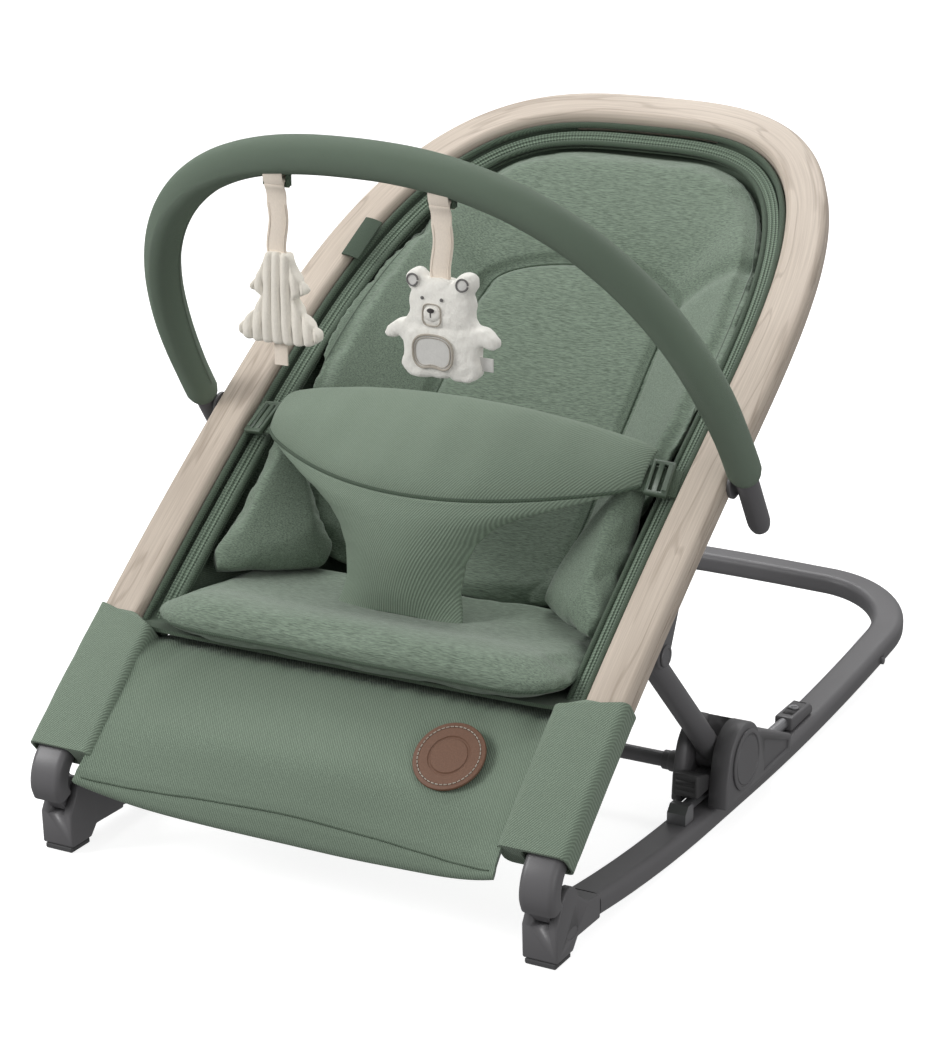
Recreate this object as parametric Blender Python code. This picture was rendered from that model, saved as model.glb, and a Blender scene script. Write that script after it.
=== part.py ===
"""Baby bouncer: a rocking rail base, a reclining wood-look seat frame with padded fabric,
a folding leg linkage on guide rods and a removable-looking toy arch. Metres, +Z up, +X right."""

import math

import bmesh
import bpy
import numpy as np
from mathutils import Vector

# Overall placement
CENTRE_Y = 0.3475          # the design frame starts at the front feet; the origin is mid-length
GAP = 0.0003

# Base rails and feet
RAIL_X = 0.1985            # centre of each side rail
RAIL_W = 0.027
RAIL_H = 0.018
RAIL_FRONT_Y = 0.052
RAIL_REAR_Y = 0.704
CORNER_R = 0.087
ROCK_Y = 0.28              # middle of the rail's resting facet
ROCK_FLAT = 0.04
ROCK_R_FRONT = 1.5
ROCK_R_REAR = 2.5
STAND_Y = 0.585

# Pivots (y, z)
FOOT_PIVOT = (0.005, 0.042)
LEG_PIVOT = (0.148, 0.172)
HUB_PIVOT = (0.272, 0.050)
ARCH_PIVOT = (0.2494, 0.2704)
LEG_X = 0.1975
STAND_PIVOT_UP = 0.0065    # above the rail's underside

# Seat frame
SEAT_BASE = (0.091, 0.157)
SEAT_ANGLE = math.radians(32.1)
SEAT_LENGTH = 0.590
SEAT_BOW = 0.015
SEAT_TAIL = -0.118
STRIP_W = 0.032
STRIP_T = 0.020
OUTER_HALF = 0.2165
HEAD_START = 0.200
HEAD_RISE = 0.390
HEAD_POWER = 3.1

# Guide rods and hubs
ROD_R = 0.0045
ROD_Z = 0.0262
HUB_IN = 0.1780
HUB_OUT = 0.2235
SLOT_IN = 0.1865
SLOT_OUT = 0.2085

# Toy arch
ARCH_LEAN = math.radians(34.1)
ARCH_HALF = 0.2297
ARCH_STEM = 0.004          # straight start above the pivot
ARCH_RISE = 0.2925
ARCH_POWER = 2.39
FOAM_R = 0.0138
FOAM_END_R = 0.0128        # beside the wood
TUBE_R = 0.0085
TOY_X = {-1: -0.058, 1: 0.071}

# Sling centre line (y, z), front lip to head
SLING = ((0.052, 0.1500), (0.084, 0.1500), (0.118, 0.1425), (0.165, 0.1385), (0.210, 0.1400), (0.243, 0.1510),
         (0.275, 0.1730), (0.330, 0.2220), (0.400, 0.2860), (0.480, 0.3590), (0.545, 0.4170), (0.588, 0.4540))
SLING_POWER = 10
SLING_ACROSS = np.sin(np.linspace(0, math.pi / 2, 9))


def clear_scene():
    for obj in list(bpy.data.objects):
        bpy.data.objects.remove(obj, do_unlink=True)


def material(name, colour, roughness, metallic=0.0):
    mat = bpy.data.materials.new(name)
    mat.use_nodes = True
    shader = mat.node_tree.nodes["Principled BSDF"]
    shader.inputs["Base Color"].default_value = (*colour, 1.0)
    shader.inputs["Roughness"].default_value = roughness
    shader.inputs["Metallic"].default_value = metallic
    return mat


def plastic(name):
    return material(name, (0.105, 0.100, 0.100), 0.45)


def rubber(name):
    return material(name, (0.045, 0.045, 0.046), 0.75)


def steel(name):
    return material(name, (0.30, 0.30, 0.31), 0.35, 0.9)


def wood(name):
    return material(name, (0.62, 0.49, 0.38), 0.50)


def green(name):
    return material(name, (0.115, 0.190, 0.130), 0.90)


def cream(name):
    return material(name, (0.66, 0.60, 0.52), 0.95)


def leather(name):
    return material(name, (0.150, 0.055, 0.030), 0.60)


def make_object(name, verts, faces, mat, pivot=(0.0, 0.0, 0.0), smooth=40.0):
    """A mesh object whose origin is its pivot, with its normals made to face out."""
    pivot = np.array(pivot, float)
    mesh = bpy.data.meshes.new(name)
    mesh.from_pydata([tuple(np.array(v, float) - pivot) for v in verts], [], [tuple(f) for f in faces])
    bm = bmesh.new()
    bm.from_mesh(mesh)
    bmesh.ops.recalc_face_normals(bm, faces=bm.faces)
    bm.to_mesh(mesh)
    bm.free()
    mesh.shade_smooth()
    mesh.set_sharp_from_angle(angle=math.radians(smooth))
    mesh.materials.append(mat)
    obj = bpy.data.objects.new(name, mesh)
    obj.location = (pivot[0], pivot[1] - CENTRE_Y, pivot[2])
    bpy.context.scene.collection.objects.link(obj)
    return obj


def loft(rings, closed=False):
    """Vertices and faces of a skin over rings of points, capped unless the rings close on themselves."""
    count = len(rings[0])
    verts = [p for ring in rings for p in ring]
    last = len(rings) if closed else len(rings) - 1
    faces = []
    for i in range(last):
        a = i * count
        b = ((i + 1) % len(rings)) * count
        faces += [(a + k, a + (k + 1) % count, b + (k + 1) % count, b + k) for k in range(count)]
    if not closed:
        faces += [tuple(range(count)), tuple(range(len(verts) - count, len(verts)))]
    return verts, faces


def sleeve_loft(outer, inner):
    """A tube with a wall: outer and inner rings of equal number, joined at both ends."""
    count = len(outer[0])
    verts, faces = loft(outer)
    faces = faces[:-2]
    more, inner_faces = loft(inner)
    shift = len(verts)
    faces += [tuple(k + shift for k in reversed(f)) for f in inner_faces[:-2]]
    verts = verts + more
    for start in (0, shift - count):
        faces += [(start + k, start + (k + 1) % count, shift + start + (k + 1) % count, shift + start + k)
                  for k in range(count)]
    return verts, faces


def rounded_rect(width, height, radius, steps=3):
    """Corner-rounded rectangle, anticlockwise, centred on the origin."""
    points = []
    for quarter in range(4):
        cx = (width / 2 - radius) * (1 if quarter in (0, 3) else -1)
        cy = (height / 2 - radius) * (1 if quarter in (0, 1) else -1)
        for k in range(steps):
            angle = math.radians(90 * quarter + 90 * k / (steps - 1))
            points.append((cx + radius * math.cos(angle), cy + radius * math.sin(angle)))
    return points


def circle(radius, count):
    return [(radius * math.cos(2 * math.pi * k / count), radius * math.sin(2 * math.pi * k / count))
            for k in range(count)]


def sweep(path, sides, ups, section):
    """Rings of a section carried along a path, with a side and an up vector at each point."""
    return [[np.array(p) + a * np.array(side) + b * np.array(up) for a, b in section]
            for p, side, up in zip(path, sides, ups)]


def side_sweep(path_yz, x, section):
    """Rings along a path in a side plane: the section's first axis is X, its second is in the plane."""
    path = np.array([(x, y, z) for y, z in path_yz], float)
    tangents = np.gradient(path, axis=0)
    tangents /= np.linalg.norm(tangents, axis=1)[:, None]
    ups = np.stack([0 * tangents[:, 0], -tangents[:, 2], tangents[:, 1]], axis=1)
    return sweep(path, [(1, 0, 0)] * len(path), ups, section)


def tube_rings(points, radius, count=12):
    """Rings of a round tube along a 3-D path, with a steady frame."""
    points = np.array(points, float)
    tangents = np.gradient(points, axis=0)
    tangents /= np.linalg.norm(tangents, axis=1)[:, None]
    side = np.cross(tangents[0], (0.3, 1.0, 0.2))
    sides = []
    for tangent in tangents:
        side = side - tangent * (side @ tangent)
        side /= np.linalg.norm(side)
        sides.append(side)
    ups = [np.cross(t, s) for t, s in zip(tangents, sides)]
    return sweep(points, sides, ups, circle(radius, count))


def prism(outline_yz, x0, x1):
    """A side-view outline given thickness along X."""
    return loft([[(x, y, z) for y, z in outline_yz] for x in (x0, x1)])


def x_cylinder(y, z, x0, x1, radius, count=20):
    return prism([(y + a, z + b) for a, b in circle(radius, count)], x0, x1)


def box(x0, x1, y0, y1, z0, z1):
    return prism([(y0, z0), (y1, z0), (y1, z1), (y0, z1)], x0, x1)


def arc(y, z, radius, start, end, steps):
    """Side-view arc, in degrees from +Y towards +Z."""
    return [(y + radius * math.cos(math.radians(start + (end - start) * k / steps)),
             z + radius * math.sin(math.radians(start + (end - start) * k / steps))) for k in range(steps + 1)]


def mirrored(shape, side):
    verts, faces = shape
    return [(v[0] * side, v[1], v[2]) for v in verts], faces


def combine(target, shape, operation):
    """Cut or add one solid shape, and keep the result as the object's own mesh."""
    tool = make_object("tool", *shape, target.data.materials[0])
    modifier = target.modifiers.new(operation.lower(), "BOOLEAN")
    modifier.operation = operation
    modifier.object = tool
    bpy.context.view_layer.update()
    graph = bpy.context.evaluated_depsgraph_get()
    mesh = bpy.data.meshes.new_from_object(target.evaluated_get(graph))
    target.modifiers.clear()
    target.data = mesh
    bpy.data.objects.remove(tool, do_unlink=True)
    return target


def bevel(obj, width, segments=2, angle=50.0):
    modifier = obj.modifiers.new("edge", "BEVEL")
    modifier.width = width
    modifier.segments = segments
    modifier.limit_method = "ANGLE"
    modifier.angle_limit = math.radians(angle)
    bpy.context.view_layer.update()
    graph = bpy.context.evaluated_depsgraph_get()
    obj.data = bpy.data.meshes.new_from_object(obj.evaluated_get(graph))
    obj.modifiers.clear()
    return obj


# ---- base ----------------------------------------------------------------------------------

def rail_bottom(y):
    """Height of the rail's underside: a flat facet with a rocker curve before and behind it."""
    away = max(0.0, abs(y - ROCK_Y) - ROCK_FLAT)
    return away ** 2 / (2 * (ROCK_R_FRONT if y < ROCK_Y else ROCK_R_REAR))


def base_frame():
    half = []
    for y in np.linspace(RAIL_FRONT_Y, ROCK_Y - ROCK_FLAT, 9):
        half.append((RAIL_X, y))
    for y in np.linspace(ROCK_Y + ROCK_FLAT, RAIL_REAR_Y - CORNER_R, 10):
        half.append((RAIL_X, y))
    for k in range(1, 9):
        angle = math.pi / 2 * k / 8
        half.append((RAIL_X - CORNER_R * (1 - math.cos(angle)), RAIL_REAR_Y - CORNER_R * (1 - math.sin(angle))))
    plan = half + [(0.0, RAIL_REAR_Y + 0.003)] + [(-x, y) for x, y in reversed(half)]
    path = np.array([(x, y, rail_bottom(y) + RAIL_H / 2) for x, y in plan])
    tangents = np.gradient(path, axis=0)
    tangents /= np.linalg.norm(tangents, axis=1)[:, None]
    sides = np.cross(tangents, (0, 0, 1))
    sides /= np.linalg.norm(sides, axis=1)[:, None]
    ups = [(0, 0, 1)] * len(path)
    obj = make_object("base_frame", *loft(sweep(path, sides, ups, rounded_rect(RAIL_W, RAIL_H, 0.006))),
                      plastic("base_frame"))
    for side in (-1, 1):
        floor = rail_bottom(STAND_Y)
        combine(obj, mirrored(box(RAIL_X - 0.0090, RAIL_X + 0.0090, STAND_Y - 0.030, STAND_Y + 0.013,
                                  -0.01, floor + 0.0125), side), "DIFFERENCE")
        combine(obj, mirrored(x_cylinder(STAND_Y, floor + STAND_PIVOT_UP, RAIL_X - 0.02, RAIL_X + 0.02,
                                         0.0033, 16), side), "DIFFERENCE")
    return obj


def front_foot(tag, side):
    """A clevis with its own pin, on a block that carries the rail's front end."""
    y, z = FOOT_PIVOT
    low = rail_bottom(RAIL_FRONT_Y)
    outline = [(-0.0140, 0.0046), (0.0100, 0.0046), (0.0170, 0.0125), (RAIL_FRONT_Y - 0.0005, low),
               (RAIL_FRONT_Y - 0.0005, low + RAIL_H), (0.0320, 0.0330)]
    outline += arc(y, z, 0.0118, 10, 170, 10) + [(-0.0150, 0.0300)]
    obj = make_object("front_foot_" + tag, *mirrored(prism(outline, RAIL_X - 0.0135, RAIL_X + 0.0135), side),
                      plastic("front_foot_" + tag), pivot=(side * RAIL_X, y, z))
    bevel(obj, 0.0018)
    slot = box(RAIL_X - 0.0068, RAIL_X + 0.0068, -0.03, 0.0175, 0.0295, 0.07)
    combine(obj, mirrored(slot, side), "DIFFERENCE")
    pin = x_cylinder(y, z, RAIL_X - 0.0120, RAIL_X + 0.0120, 0.0030, 16)
    combine(obj, mirrored(pin, side), "UNION")
    return obj


def foot_pad(tag, side):
    shape = box(RAIL_X - 0.0120, RAIL_X + 0.0120, -0.0135, 0.0095, 0.0, 0.0043)
    return bevel(make_object("foot_pad_" + tag, *mirrored(shape, side), rubber("foot_pad_" + tag)), 0.0010, 1)


def guide_rod(tag, side):
    """The rod the hub slides on, with the rounded lug that holds its front end."""
    rings = [[(RAIL_X + a, y, ROD_Z + b) for a, b in circle(ROD_R, 16)] for y in (0.2120, 0.4045)]
    obj = make_object("guide_rod_" + tag, *mirrored(loft(rings), side), steel("guide_rod_" + tag))
    low = RAIL_H + rail_bottom(0.2050) + GAP
    lug = [(0.2040, low), (0.2180, low), (0.2180, 0.0300)] + [(0.2150, 0.0325), (0.2090, 0.0325), (0.2040, 0.0270)]
    combine(obj, mirrored(prism(lug, RAIL_X - 0.0075, RAIL_X + 0.0075), side), "UNION")
    return obj


def guide_bracket(tag, side):
    """The rear anchor of the guide rod, on top of the rail."""
    outline = [(0.4050, RAIL_H + rail_bottom(0.4050) + 0.0008), (0.4480, RAIL_H + rail_bottom(0.4480) + 0.0008),
               (0.4480, 0.0280), (0.4420, 0.0315), (0.4050, 0.0315)]
    obj = make_object("guide_bracket_" + tag, *mirrored(prism(outline, RAIL_X - 0.0075, RAIL_X + 0.0075), side),
                      plastic("guide_bracket_" + tag))
    return bevel(obj, 0.0012, 1)


def guide_screw(tag, side):
    rings = [[(RAIL_X + a * r, 0.4260 + b * r, z) for a, b in circle(1.0, 16)]
             for r, z in ((0.0042, 0.0318), (0.0042, 0.0324), (0.0034, 0.0330))]
    return make_object("guide_screw_" + tag, *mirrored(loft(rings), side), steel("guide_screw_" + tag))


def rear_stand(tag, side):
    """A short flip-down foot folded up into the rail, on an axle that shows on both sides."""
    z = rail_bottom(STAND_Y) + STAND_PIVOT_UP
    outline = arc(STAND_Y, z, 0.0050, -80, 90, 6) + [(STAND_Y - 0.0180, z + 0.0035), (STAND_Y - 0.0180, z - 0.0035)]
    obj = make_object("rear_stand_" + tag, *mirrored(prism(outline, RAIL_X - 0.0080, RAIL_X + 0.0080), side),
                      plastic("rear_stand_" + tag), pivot=(side * RAIL_X, STAND_Y, z))
    pin = x_cylinder(STAND_Y, z, RAIL_X - 0.0155, RAIL_X + 0.0155, 0.0030, 16)
    return combine(obj, mirrored(pin, side), "UNION")


# ---- seat frame ----------------------------------------------------------------------------

def seat_bow(s):
    return 4 * SEAT_BOW * (s / SEAT_LENGTH) * (1 - s / SEAT_LENGTH)


def seat_point(x, s, lift=0.0):
    """A point on the seat frame's bowed surface, at a distance s up from the sleeves."""
    along = (math.cos(SEAT_ANGLE), math.sin(SEAT_ANGLE))
    out = (-math.sin(SEAT_ANGLE), math.cos(SEAT_ANGLE))
    n = seat_bow(s) + lift
    return np.array((x, SEAT_BASE[0] + s * along[0] + n * out[0], SEAT_BASE[1] + s * along[1] + n * out[1]))


def seat_normal(s):
    step = seat_point(0, s + 0.001) - seat_point(0, s - 0.001)
    step /= np.linalg.norm(step)
    return np.array((0.0, -step[2], step[1]))


def head_half(s, inset):
    """Half-width of the seat frame's outline, moved in by an inset."""
    if s <= HEAD_START:
        return OUTER_HALF - inset
    ratio = min(1.0, (s - HEAD_START) / (HEAD_RISE - inset))
    return (OUTER_HALF - inset) * (1 - ratio ** HEAD_POWER) ** (1 / HEAD_POWER)


def seat_frame():
    inset = STRIP_W / 2
    half = [(OUTER_HALF - inset, s) for s in np.linspace(SEAT_TAIL, HEAD_START, 7)]
    for k in range(1, 17):
        t = math.pi / 2 * k / 16
        half.append(((OUTER_HALF - inset) * math.cos(t) ** (2 / HEAD_POWER),
                     HEAD_START + (HEAD_RISE - inset) * math.sin(t) ** (2 / HEAD_POWER)))
    plan = half + [(-x, s) for x, s in reversed(half[:-1])]
    path = np.array([seat_point(x, s) for x, s in plan])
    tangents = np.gradient(path, axis=0)
    tangents /= np.linalg.norm(tangents, axis=1)[:, None]
    ups = np.array([seat_normal(s) for _, s in plan])
    sides = np.cross(tangents, ups)
    sides /= np.linalg.norm(sides, axis=1)[:, None]
    section = rounded_rect(STRIP_W, STRIP_T, 0.0055)
    return make_object("seat_frame", *loft(sweep(path, sides, ups, section)), wood("seat_frame"))


def front_knuckle(tag, side):
    """The curved end of the seat frame, with the eye that turns on the foot's pin."""
    start = seat_point(0, SEAT_TAIL - 0.0016)
    path = [(start[1], start[2]), (-0.0080, 0.0755), (-0.0135, 0.0690), (-0.0170, 0.0610), (-0.0178, 0.0530),
            (-0.0150, 0.0455)]
    section = rounded_rect(0.0275, 0.0155, 0.0050)
    y, z = FOOT_PIVOT
    rings = side_sweep(path, OUTER_HALF - STRIP_W / 2, section)
    obj = make_object("front_knuckle_" + tag, *mirrored(loft(rings), side), plastic("front_knuckle_" + tag),
                      pivot=(side * RAIL_X, y, z))
    eye = [(-0.0120, 0.0600)] + arc(y, z, 0.0105, 75, -100, 10) + [(-0.0100, 0.0325), (-0.0180, 0.0430),
                                                                (-0.0180, 0.0580)]
    combine(obj, mirrored(prism(eye, RAIL_X - 0.0064, RAIL_X + 0.0064), side), "UNION")
    combine(obj, mirrored(x_cylinder(y, z, RAIL_X - 0.02, RAIL_X + 0.02, 0.0033, 16), side), "DIFFERENCE")
    clear = x_cylinder(y, z, RAIL_X - 0.02, RAIL_X - 0.0064, 0.0125, 24)
    combine(obj, mirrored(clear, side), "DIFFERENCE")
    clear = x_cylinder(y, z, RAIL_X + 0.0064, RAIL_X + 0.02, 0.0125, 24)
    combine(obj, mirrored(clear, side), "DIFFERENCE")
    return obj


def leg_bracket(tag, side):
    """A clevis under the wood strip, with the pin the support leg hangs on."""
    y, z = LEG_PIVOT
    s0, s1 = 0.050, 0.098
    top = [seat_point(0, s, -STRIP_T / 2 - 0.0008)[1:] for s in (s1, s0)]
    outline = [tuple(top[0]), tuple(top[1])] + arc(y, z, 0.0100, 200, 340, 10)
    obj = make_object("leg_bracket_" + tag, *mirrored(prism(outline, LEG_X - 0.0150, LEG_X + 0.0150), side),
                      plastic("leg_bracket_" + tag), pivot=(side * LEG_X, y, z))
    bevel(obj, 0.0012, 1)
    slot = [(y - 0.03, z - 0.03), (y + 0.03, z - 0.03), (y + 0.03, z + 0.0125), (y - 0.03, z + 0.0125)]
    combine(obj, mirrored(prism(slot, LEG_X - 0.0100, LEG_X + 0.0100), side), "DIFFERENCE")
    combine(obj, mirrored(x_cylinder(y, z, LEG_X - 0.0120, LEG_X + 0.0120, 0.0030, 16), side), "UNION")
    return obj


def pivot_cap(tag, side):
    y, z = LEG_PIVOT
    x = LEG_X + 0.0150 + GAP
    rings = [[(x + t, y + a * r, z + b * r) for a, b in circle(1.0, 20)]
             for r, t in ((0.0080, 0.0), (0.0080, 0.0012), (0.0066, 0.0022))]
    return make_object("pivot_cap_" + tag, *mirrored(loft(rings), side), plastic("pivot_cap_" + tag))


def arch_clip(tag, side):
    """The socket plate on the frame's edge that the toy arch turns in."""
    y, z = ARCH_PIVOT
    x = OUTER_HALF + GAP
    rings = [[(x + t, y + a * r, z + b * r) for a, b in circle(1.0, 20)]
             for r, t in ((0.0108, 0.0), (0.0108, 0.0020), (0.0095, 0.0030))]
    return make_object("arch_clip_" + tag, *mirrored(loft(rings), side), plastic("arch_clip_" + tag),
                       pivot=(side * x, y, z))


# ---- fabric --------------------------------------------------------------------------------

def spline(points, t):
    """Catmull-Rom curve through the points; t runs from 0 to the number of spans."""
    pts = [np.array(p, float) for p in points]
    pts = [2 * pts[0] - pts[1]] + pts + [2 * pts[-1] - pts[-2]]
    i = min(int(t), len(points) - 2)
    f = t - i
    a, b, c, d = pts[i:i + 4]
    return 0.5 * (2 * b + (c - a) * f + (2 * a - 5 * b + 4 * c - d) * f * f + (3 * b - a - 3 * c + d) * f ** 3)


def sling_t(y):
    """The curve parameter of the sling at a distance back y."""
    low, high = 0.0, len(SLING) - 1.0
    for _ in range(40):
        middle = (low + high) / 2
        if spline(SLING, middle)[0] < y:
            low = middle
        else:
            high = middle
    return low


def sling_point(t, v, lift, edge=0.0006):
    """A point of the hammock: v runs across from -1 to 1, and lift is the height above its cloth."""
    centre = spline(SLING, t)
    step = spline(SLING, t + 0.01) - spline(SLING, t - 0.01)
    step /= np.linalg.norm(step)
    along = np.array((math.cos(SEAT_ANGLE), math.sin(SEAT_ANGLE)))
    out = np.array((-along[1], along[0]))
    relative = centre - np.array(SEAT_BASE)
    s = float(relative @ along)
    depth = max(0.004, seat_bow(s) - float(relative @ out))
    half = head_half(min(s, 0.5560), STRIP_W) - edge
    rise = np.interp(abs(v), SLING_ACROSS, SLING_ACROSS ** SLING_POWER)
    place = centre + out * depth * rise + np.array((-step[1], step[0])) * lift
    return np.array((half * v, place[0], place[1]))


def shell(top, bottom):
    """A closed solid between two grids of points of the same size."""
    rows, columns = len(top), len(top[0])
    verts = [p for row in top for p in row] + [p for row in bottom for p in row]
    shift = rows * columns
    faces = []
    for i in range(rows - 1):
        for j in range(columns - 1):
            quad = (i * columns + j, i * columns + j + 1, (i + 1) * columns + j + 1, (i + 1) * columns + j)
            faces += [quad, tuple(k + shift for k in reversed(quad))]
    border = [j for j in range(columns)]
    border += [i * columns + columns - 1 for i in range(1, rows)]
    border += [(rows - 1) * columns + j for j in range(columns - 2, -1, -1)]
    border += [i * columns for i in range(rows - 2, 0, -1)]
    faces += [(a, a + shift, b + shift, b) for a, b in zip(border, border[1:] + border[:1])]
    return verts, faces


def seat_cover():
    """The hammock of cloth hung inside the seat frame."""
    ts = np.linspace(sling_t(0.104), sling_t(0.560), 26)
    vs = [*-SLING_ACROSS[:0:-1], *SLING_ACROSS]
    top = [[sling_point(t, v, 0.0, 0.0042) for v in vs] for t in ts]
    bottom = [[sling_point(t, v, -0.0028) for v in vs] for t in ts]
    return make_object("seat_cover", *shell(top, bottom), green("seat_cover"))


def sling_pad(name, t0, t1, half, rows, thick, edge):
    """A pad lying in the hammock: half gives the half-width at a curve parameter."""
    ts = np.linspace(t0, t1, rows)
    top, bottom = [], []
    for i, t in enumerate(ts):
        top.append([])
        bottom.append([])
        for k in range(-6, 7):
            f = math.sin(math.pi / 2 * k / 6)
            width = sling_point(t, 1.0, 0.0)[0]
            v = f * half(t) / width
            rim = k in (-6, 6) or i in (0, rows - 1)
            top[-1].append(sling_point(t, v, edge if rim else thick))
            bottom[-1].append(sling_point(t, v, 0.0040))
    return make_object(name, *shell(top, bottom), green(name))


def seat_pad():
    return sling_pad("seat_pad", sling_t(0.056), sling_t(0.222), lambda t: 0.150 if t > 1.0 else 0.160, 11,
                     0.028, 0.016)


def back_pad():
    ts = sling_t(0.245), sling_t(0.555)

    def half(t):
        u = (t - ts[0]) / (ts[1] - ts[0])
        return 0.126 + 0.022 * min(1.0, max(0.0, 5 * u - 2)) - 0.060 * max(0.0, (u - 0.7) / 0.3) ** 2

    return sling_pad("back_pad", *ts, half, 16, 0.022, 0.010)


def side_wing(tag, side):
    """The upright wedge of padding beside the hips."""
    outline = [(0.150, 0.1745), (0.215, 0.1760), (0.262, 0.1950), (0.318, 0.2480), (0.322, 0.2720), (0.285, 0.2700),
               (0.225, 0.2350), (0.170, 0.1950)]
    obj = make_object("side_wing_" + tag, *mirrored(prism(outline, 0.1310, 0.1440), side),
                      green("side_wing_" + tag))
    return bevel(obj, 0.0030, 1)


def front_panel():
    """The stretched cloth between the sleeves, swollen at its middle."""
    top, bottom = [], []
    for i in range(7):
        s = -0.150 + 0.134 * i / 6
        row = []
        for k in range(-4, 5):
            x = 0.1652 * k / 4
            swell = 0.012 * (1 - (k / 4) ** 2) * math.sin(math.pi * i / 6)
            row.append((x, s, -0.006 + swell))
        top.append([seat_point(x, s, n) for x, s, n in row])
        bottom.append([seat_point(x, s, n - 0.0035) for x, s, n in row])
    return make_object("front_panel", *shell(top, bottom), green("front_panel"))


def corner_sleeve(tag, side):
    """The cloth sleeve over the end of the wood strip, wider on its inner side."""
    centre = OUTER_HALF - STRIP_W / 2
    outer, inner = [], []
    for s in np.linspace(-0.128, -0.001, 5):
        up = seat_normal(s)
        middle = seat_point(centre, s)
        ring_out = rounded_rect(0.0528, 0.0252, 0.0060)
        ring_in = rounded_rect(STRIP_W + 0.0014, STRIP_T + 0.0014, 0.0050)
        outer.append([middle + np.array((a - 0.0082, 0, 0)) + b * up for a, b in ring_out])
        inner.append([middle + np.array((a, 0, 0)) + b * up for a, b in ring_in])
    return make_object("corner_sleeve_" + tag, *mirrored(sleeve_loft(outer, inner), side),
                       green("corner_sleeve_" + tag))


def belt_point(x, u):
    """A point of the waist belt: u runs from its lower edge at 0 to its upper edge at 1."""
    f = abs(x) / 0.150
    s = (0.118 + 0.032 * f ** 2) * (1 - u) + (0.206 - 0.004 * f ** 2) * u
    return s, 0.044 - 0.030 * f ** 2 + 0.012 * math.sin(math.pi * u)


def waist_belt():
    top, bottom = [], []
    for i in range(5):
        u = i / 4
        rim = i in (0, 4)
        xs = [0.150 * k / 6 for k in range(-6, 7)]
        places = [(x, *belt_point(x, u)) for x in xs]
        thick = 0.006 if rim else 0.014
        top.append([seat_point(x, s, n) for x, s, n in places])
        bottom.append([seat_point(x, s, n - (0.006 if abs(x) > 0.14 else thick)) for x, s, n in places])
    return make_object("waist_belt", *shell(top, bottom), green("waist_belt"))


def crotch_panel():
    """The strap that runs from the waist belt down to the seat pad, wide at its top."""
    start = seat_point(0, 0.1110, 0.0390)
    path = [(0.1480, 0.1690), (0.1440, 0.1900), (0.1430, 0.2150), (0.1500, 0.2400), (start[1], start[2])]
    halves = (0.050, 0.042, 0.045, 0.060, 0.085)
    rings = []
    for (y, z), half in zip(path, halves):
        rings.append([(x, y + dy, z) for x, dy in ((-half, -0.002), (0, -0.008), (half, -0.002), (half, 0.003),
                                                  (0, 0.004), (-half, 0.003))])
    rings = [[(x, y, z) for x, y, z in ring] for ring in rings]
    rings[0] = [(x, y, z + 0.0010) for x, y, z in rings[0]]
    return make_object("crotch_panel", *loft(rings), green("crotch_panel"))


def webbing_line():
    """Ends of the webbing from the waist belt to the wood strip, with its across and up directions."""
    a = seat_point(0.1505, 0.178, 0.0105)
    b = seat_point(0.1812, 0.182, 0.0036)
    along = (b - a) / np.linalg.norm(b - a)
    up = np.cross(along, (0, math.cos(SEAT_ANGLE), math.sin(SEAT_ANGLE)))
    up /= np.linalg.norm(up)
    return a, b, np.cross(up, along), up


def flat_bar(a, b, across, up, width, low, high):
    """A flat bar from a to b, lying between two heights."""
    corners = ((-width, low), (width, low), (width, high), (-width, high))
    return loft([[p + across * q + up * r for q, r in corners] for p in (a, b)])


def belt_webbing(tag, side):
    """The flat webbing from the waist belt's end to the inside of the seat frame."""
    shape = flat_bar(*webbing_line(), 0.0125, -0.0008, 0.0008)
    return make_object("belt_webbing_" + tag, *mirrored(shape, side), green("belt_webbing_" + tag))


def belt_buckle(tag, side):
    """The slider on top of the webbing."""
    a, b, across, up = webbing_line()
    shape = flat_bar(a + (b - a) * 0.30, a + (b - a) * 0.80, across, up, 0.0160, 0.0012, 0.0056)
    obj = make_object("belt_buckle_" + tag, *mirrored(shape, side),
                      material("belt_buckle_" + tag, (0.045, 0.085, 0.060), 0.5))
    return bevel(obj, 0.0008, 1)


def badge():
    """A round stitched patch on the front panel."""
    s, x = -0.076, 0.104
    up = seat_normal(s)
    along = np.array((0.0, up[2], -up[1]))
    rings = []
    for r, t in ((0.0305, 0.0082), (0.0305, 0.0100), (0.0290, 0.0110)):
        rings.append([seat_point(x, s) + np.array((a, 0, 0)) * r + along * b * r + up * t
                      for a, b in circle(1.0, 28)])
    return make_object("badge", *loft(rings), leather("badge"))


def side_label():
    """A small folded cloth tag on the wood's inner edge."""
    top = [[seat_point(x, s, 0.0120) for x in (-0.1842, -0.1706)] for s in (0.357, 0.401)]
    bottom = [[seat_point(x, s, 0.0106) for x in (-0.1842, -0.1706)] for s in (0.357, 0.401)]
    return make_object("side_label", *shell(top, bottom), material("side_label", (0.050, 0.095, 0.065), 0.85))


# ---- toy arch ------------------------------------------------------------------------------

def arch_point(x, rise):
    y, z = ARCH_PIVOT
    return np.array((x, y - rise * math.sin(ARCH_LEAN), z + rise * math.cos(ARCH_LEAN)))


def arch_curve(t):
    """The arch's centre line for t from 0 at the right end to pi at the left end."""
    c = math.cos(t)
    x = math.copysign(abs(c) ** (2 / ARCH_POWER), c) * ARCH_HALF
    return arch_point(x, ARCH_STEM + ARCH_RISE * math.sin(t) ** (2 / ARCH_POWER))


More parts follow.
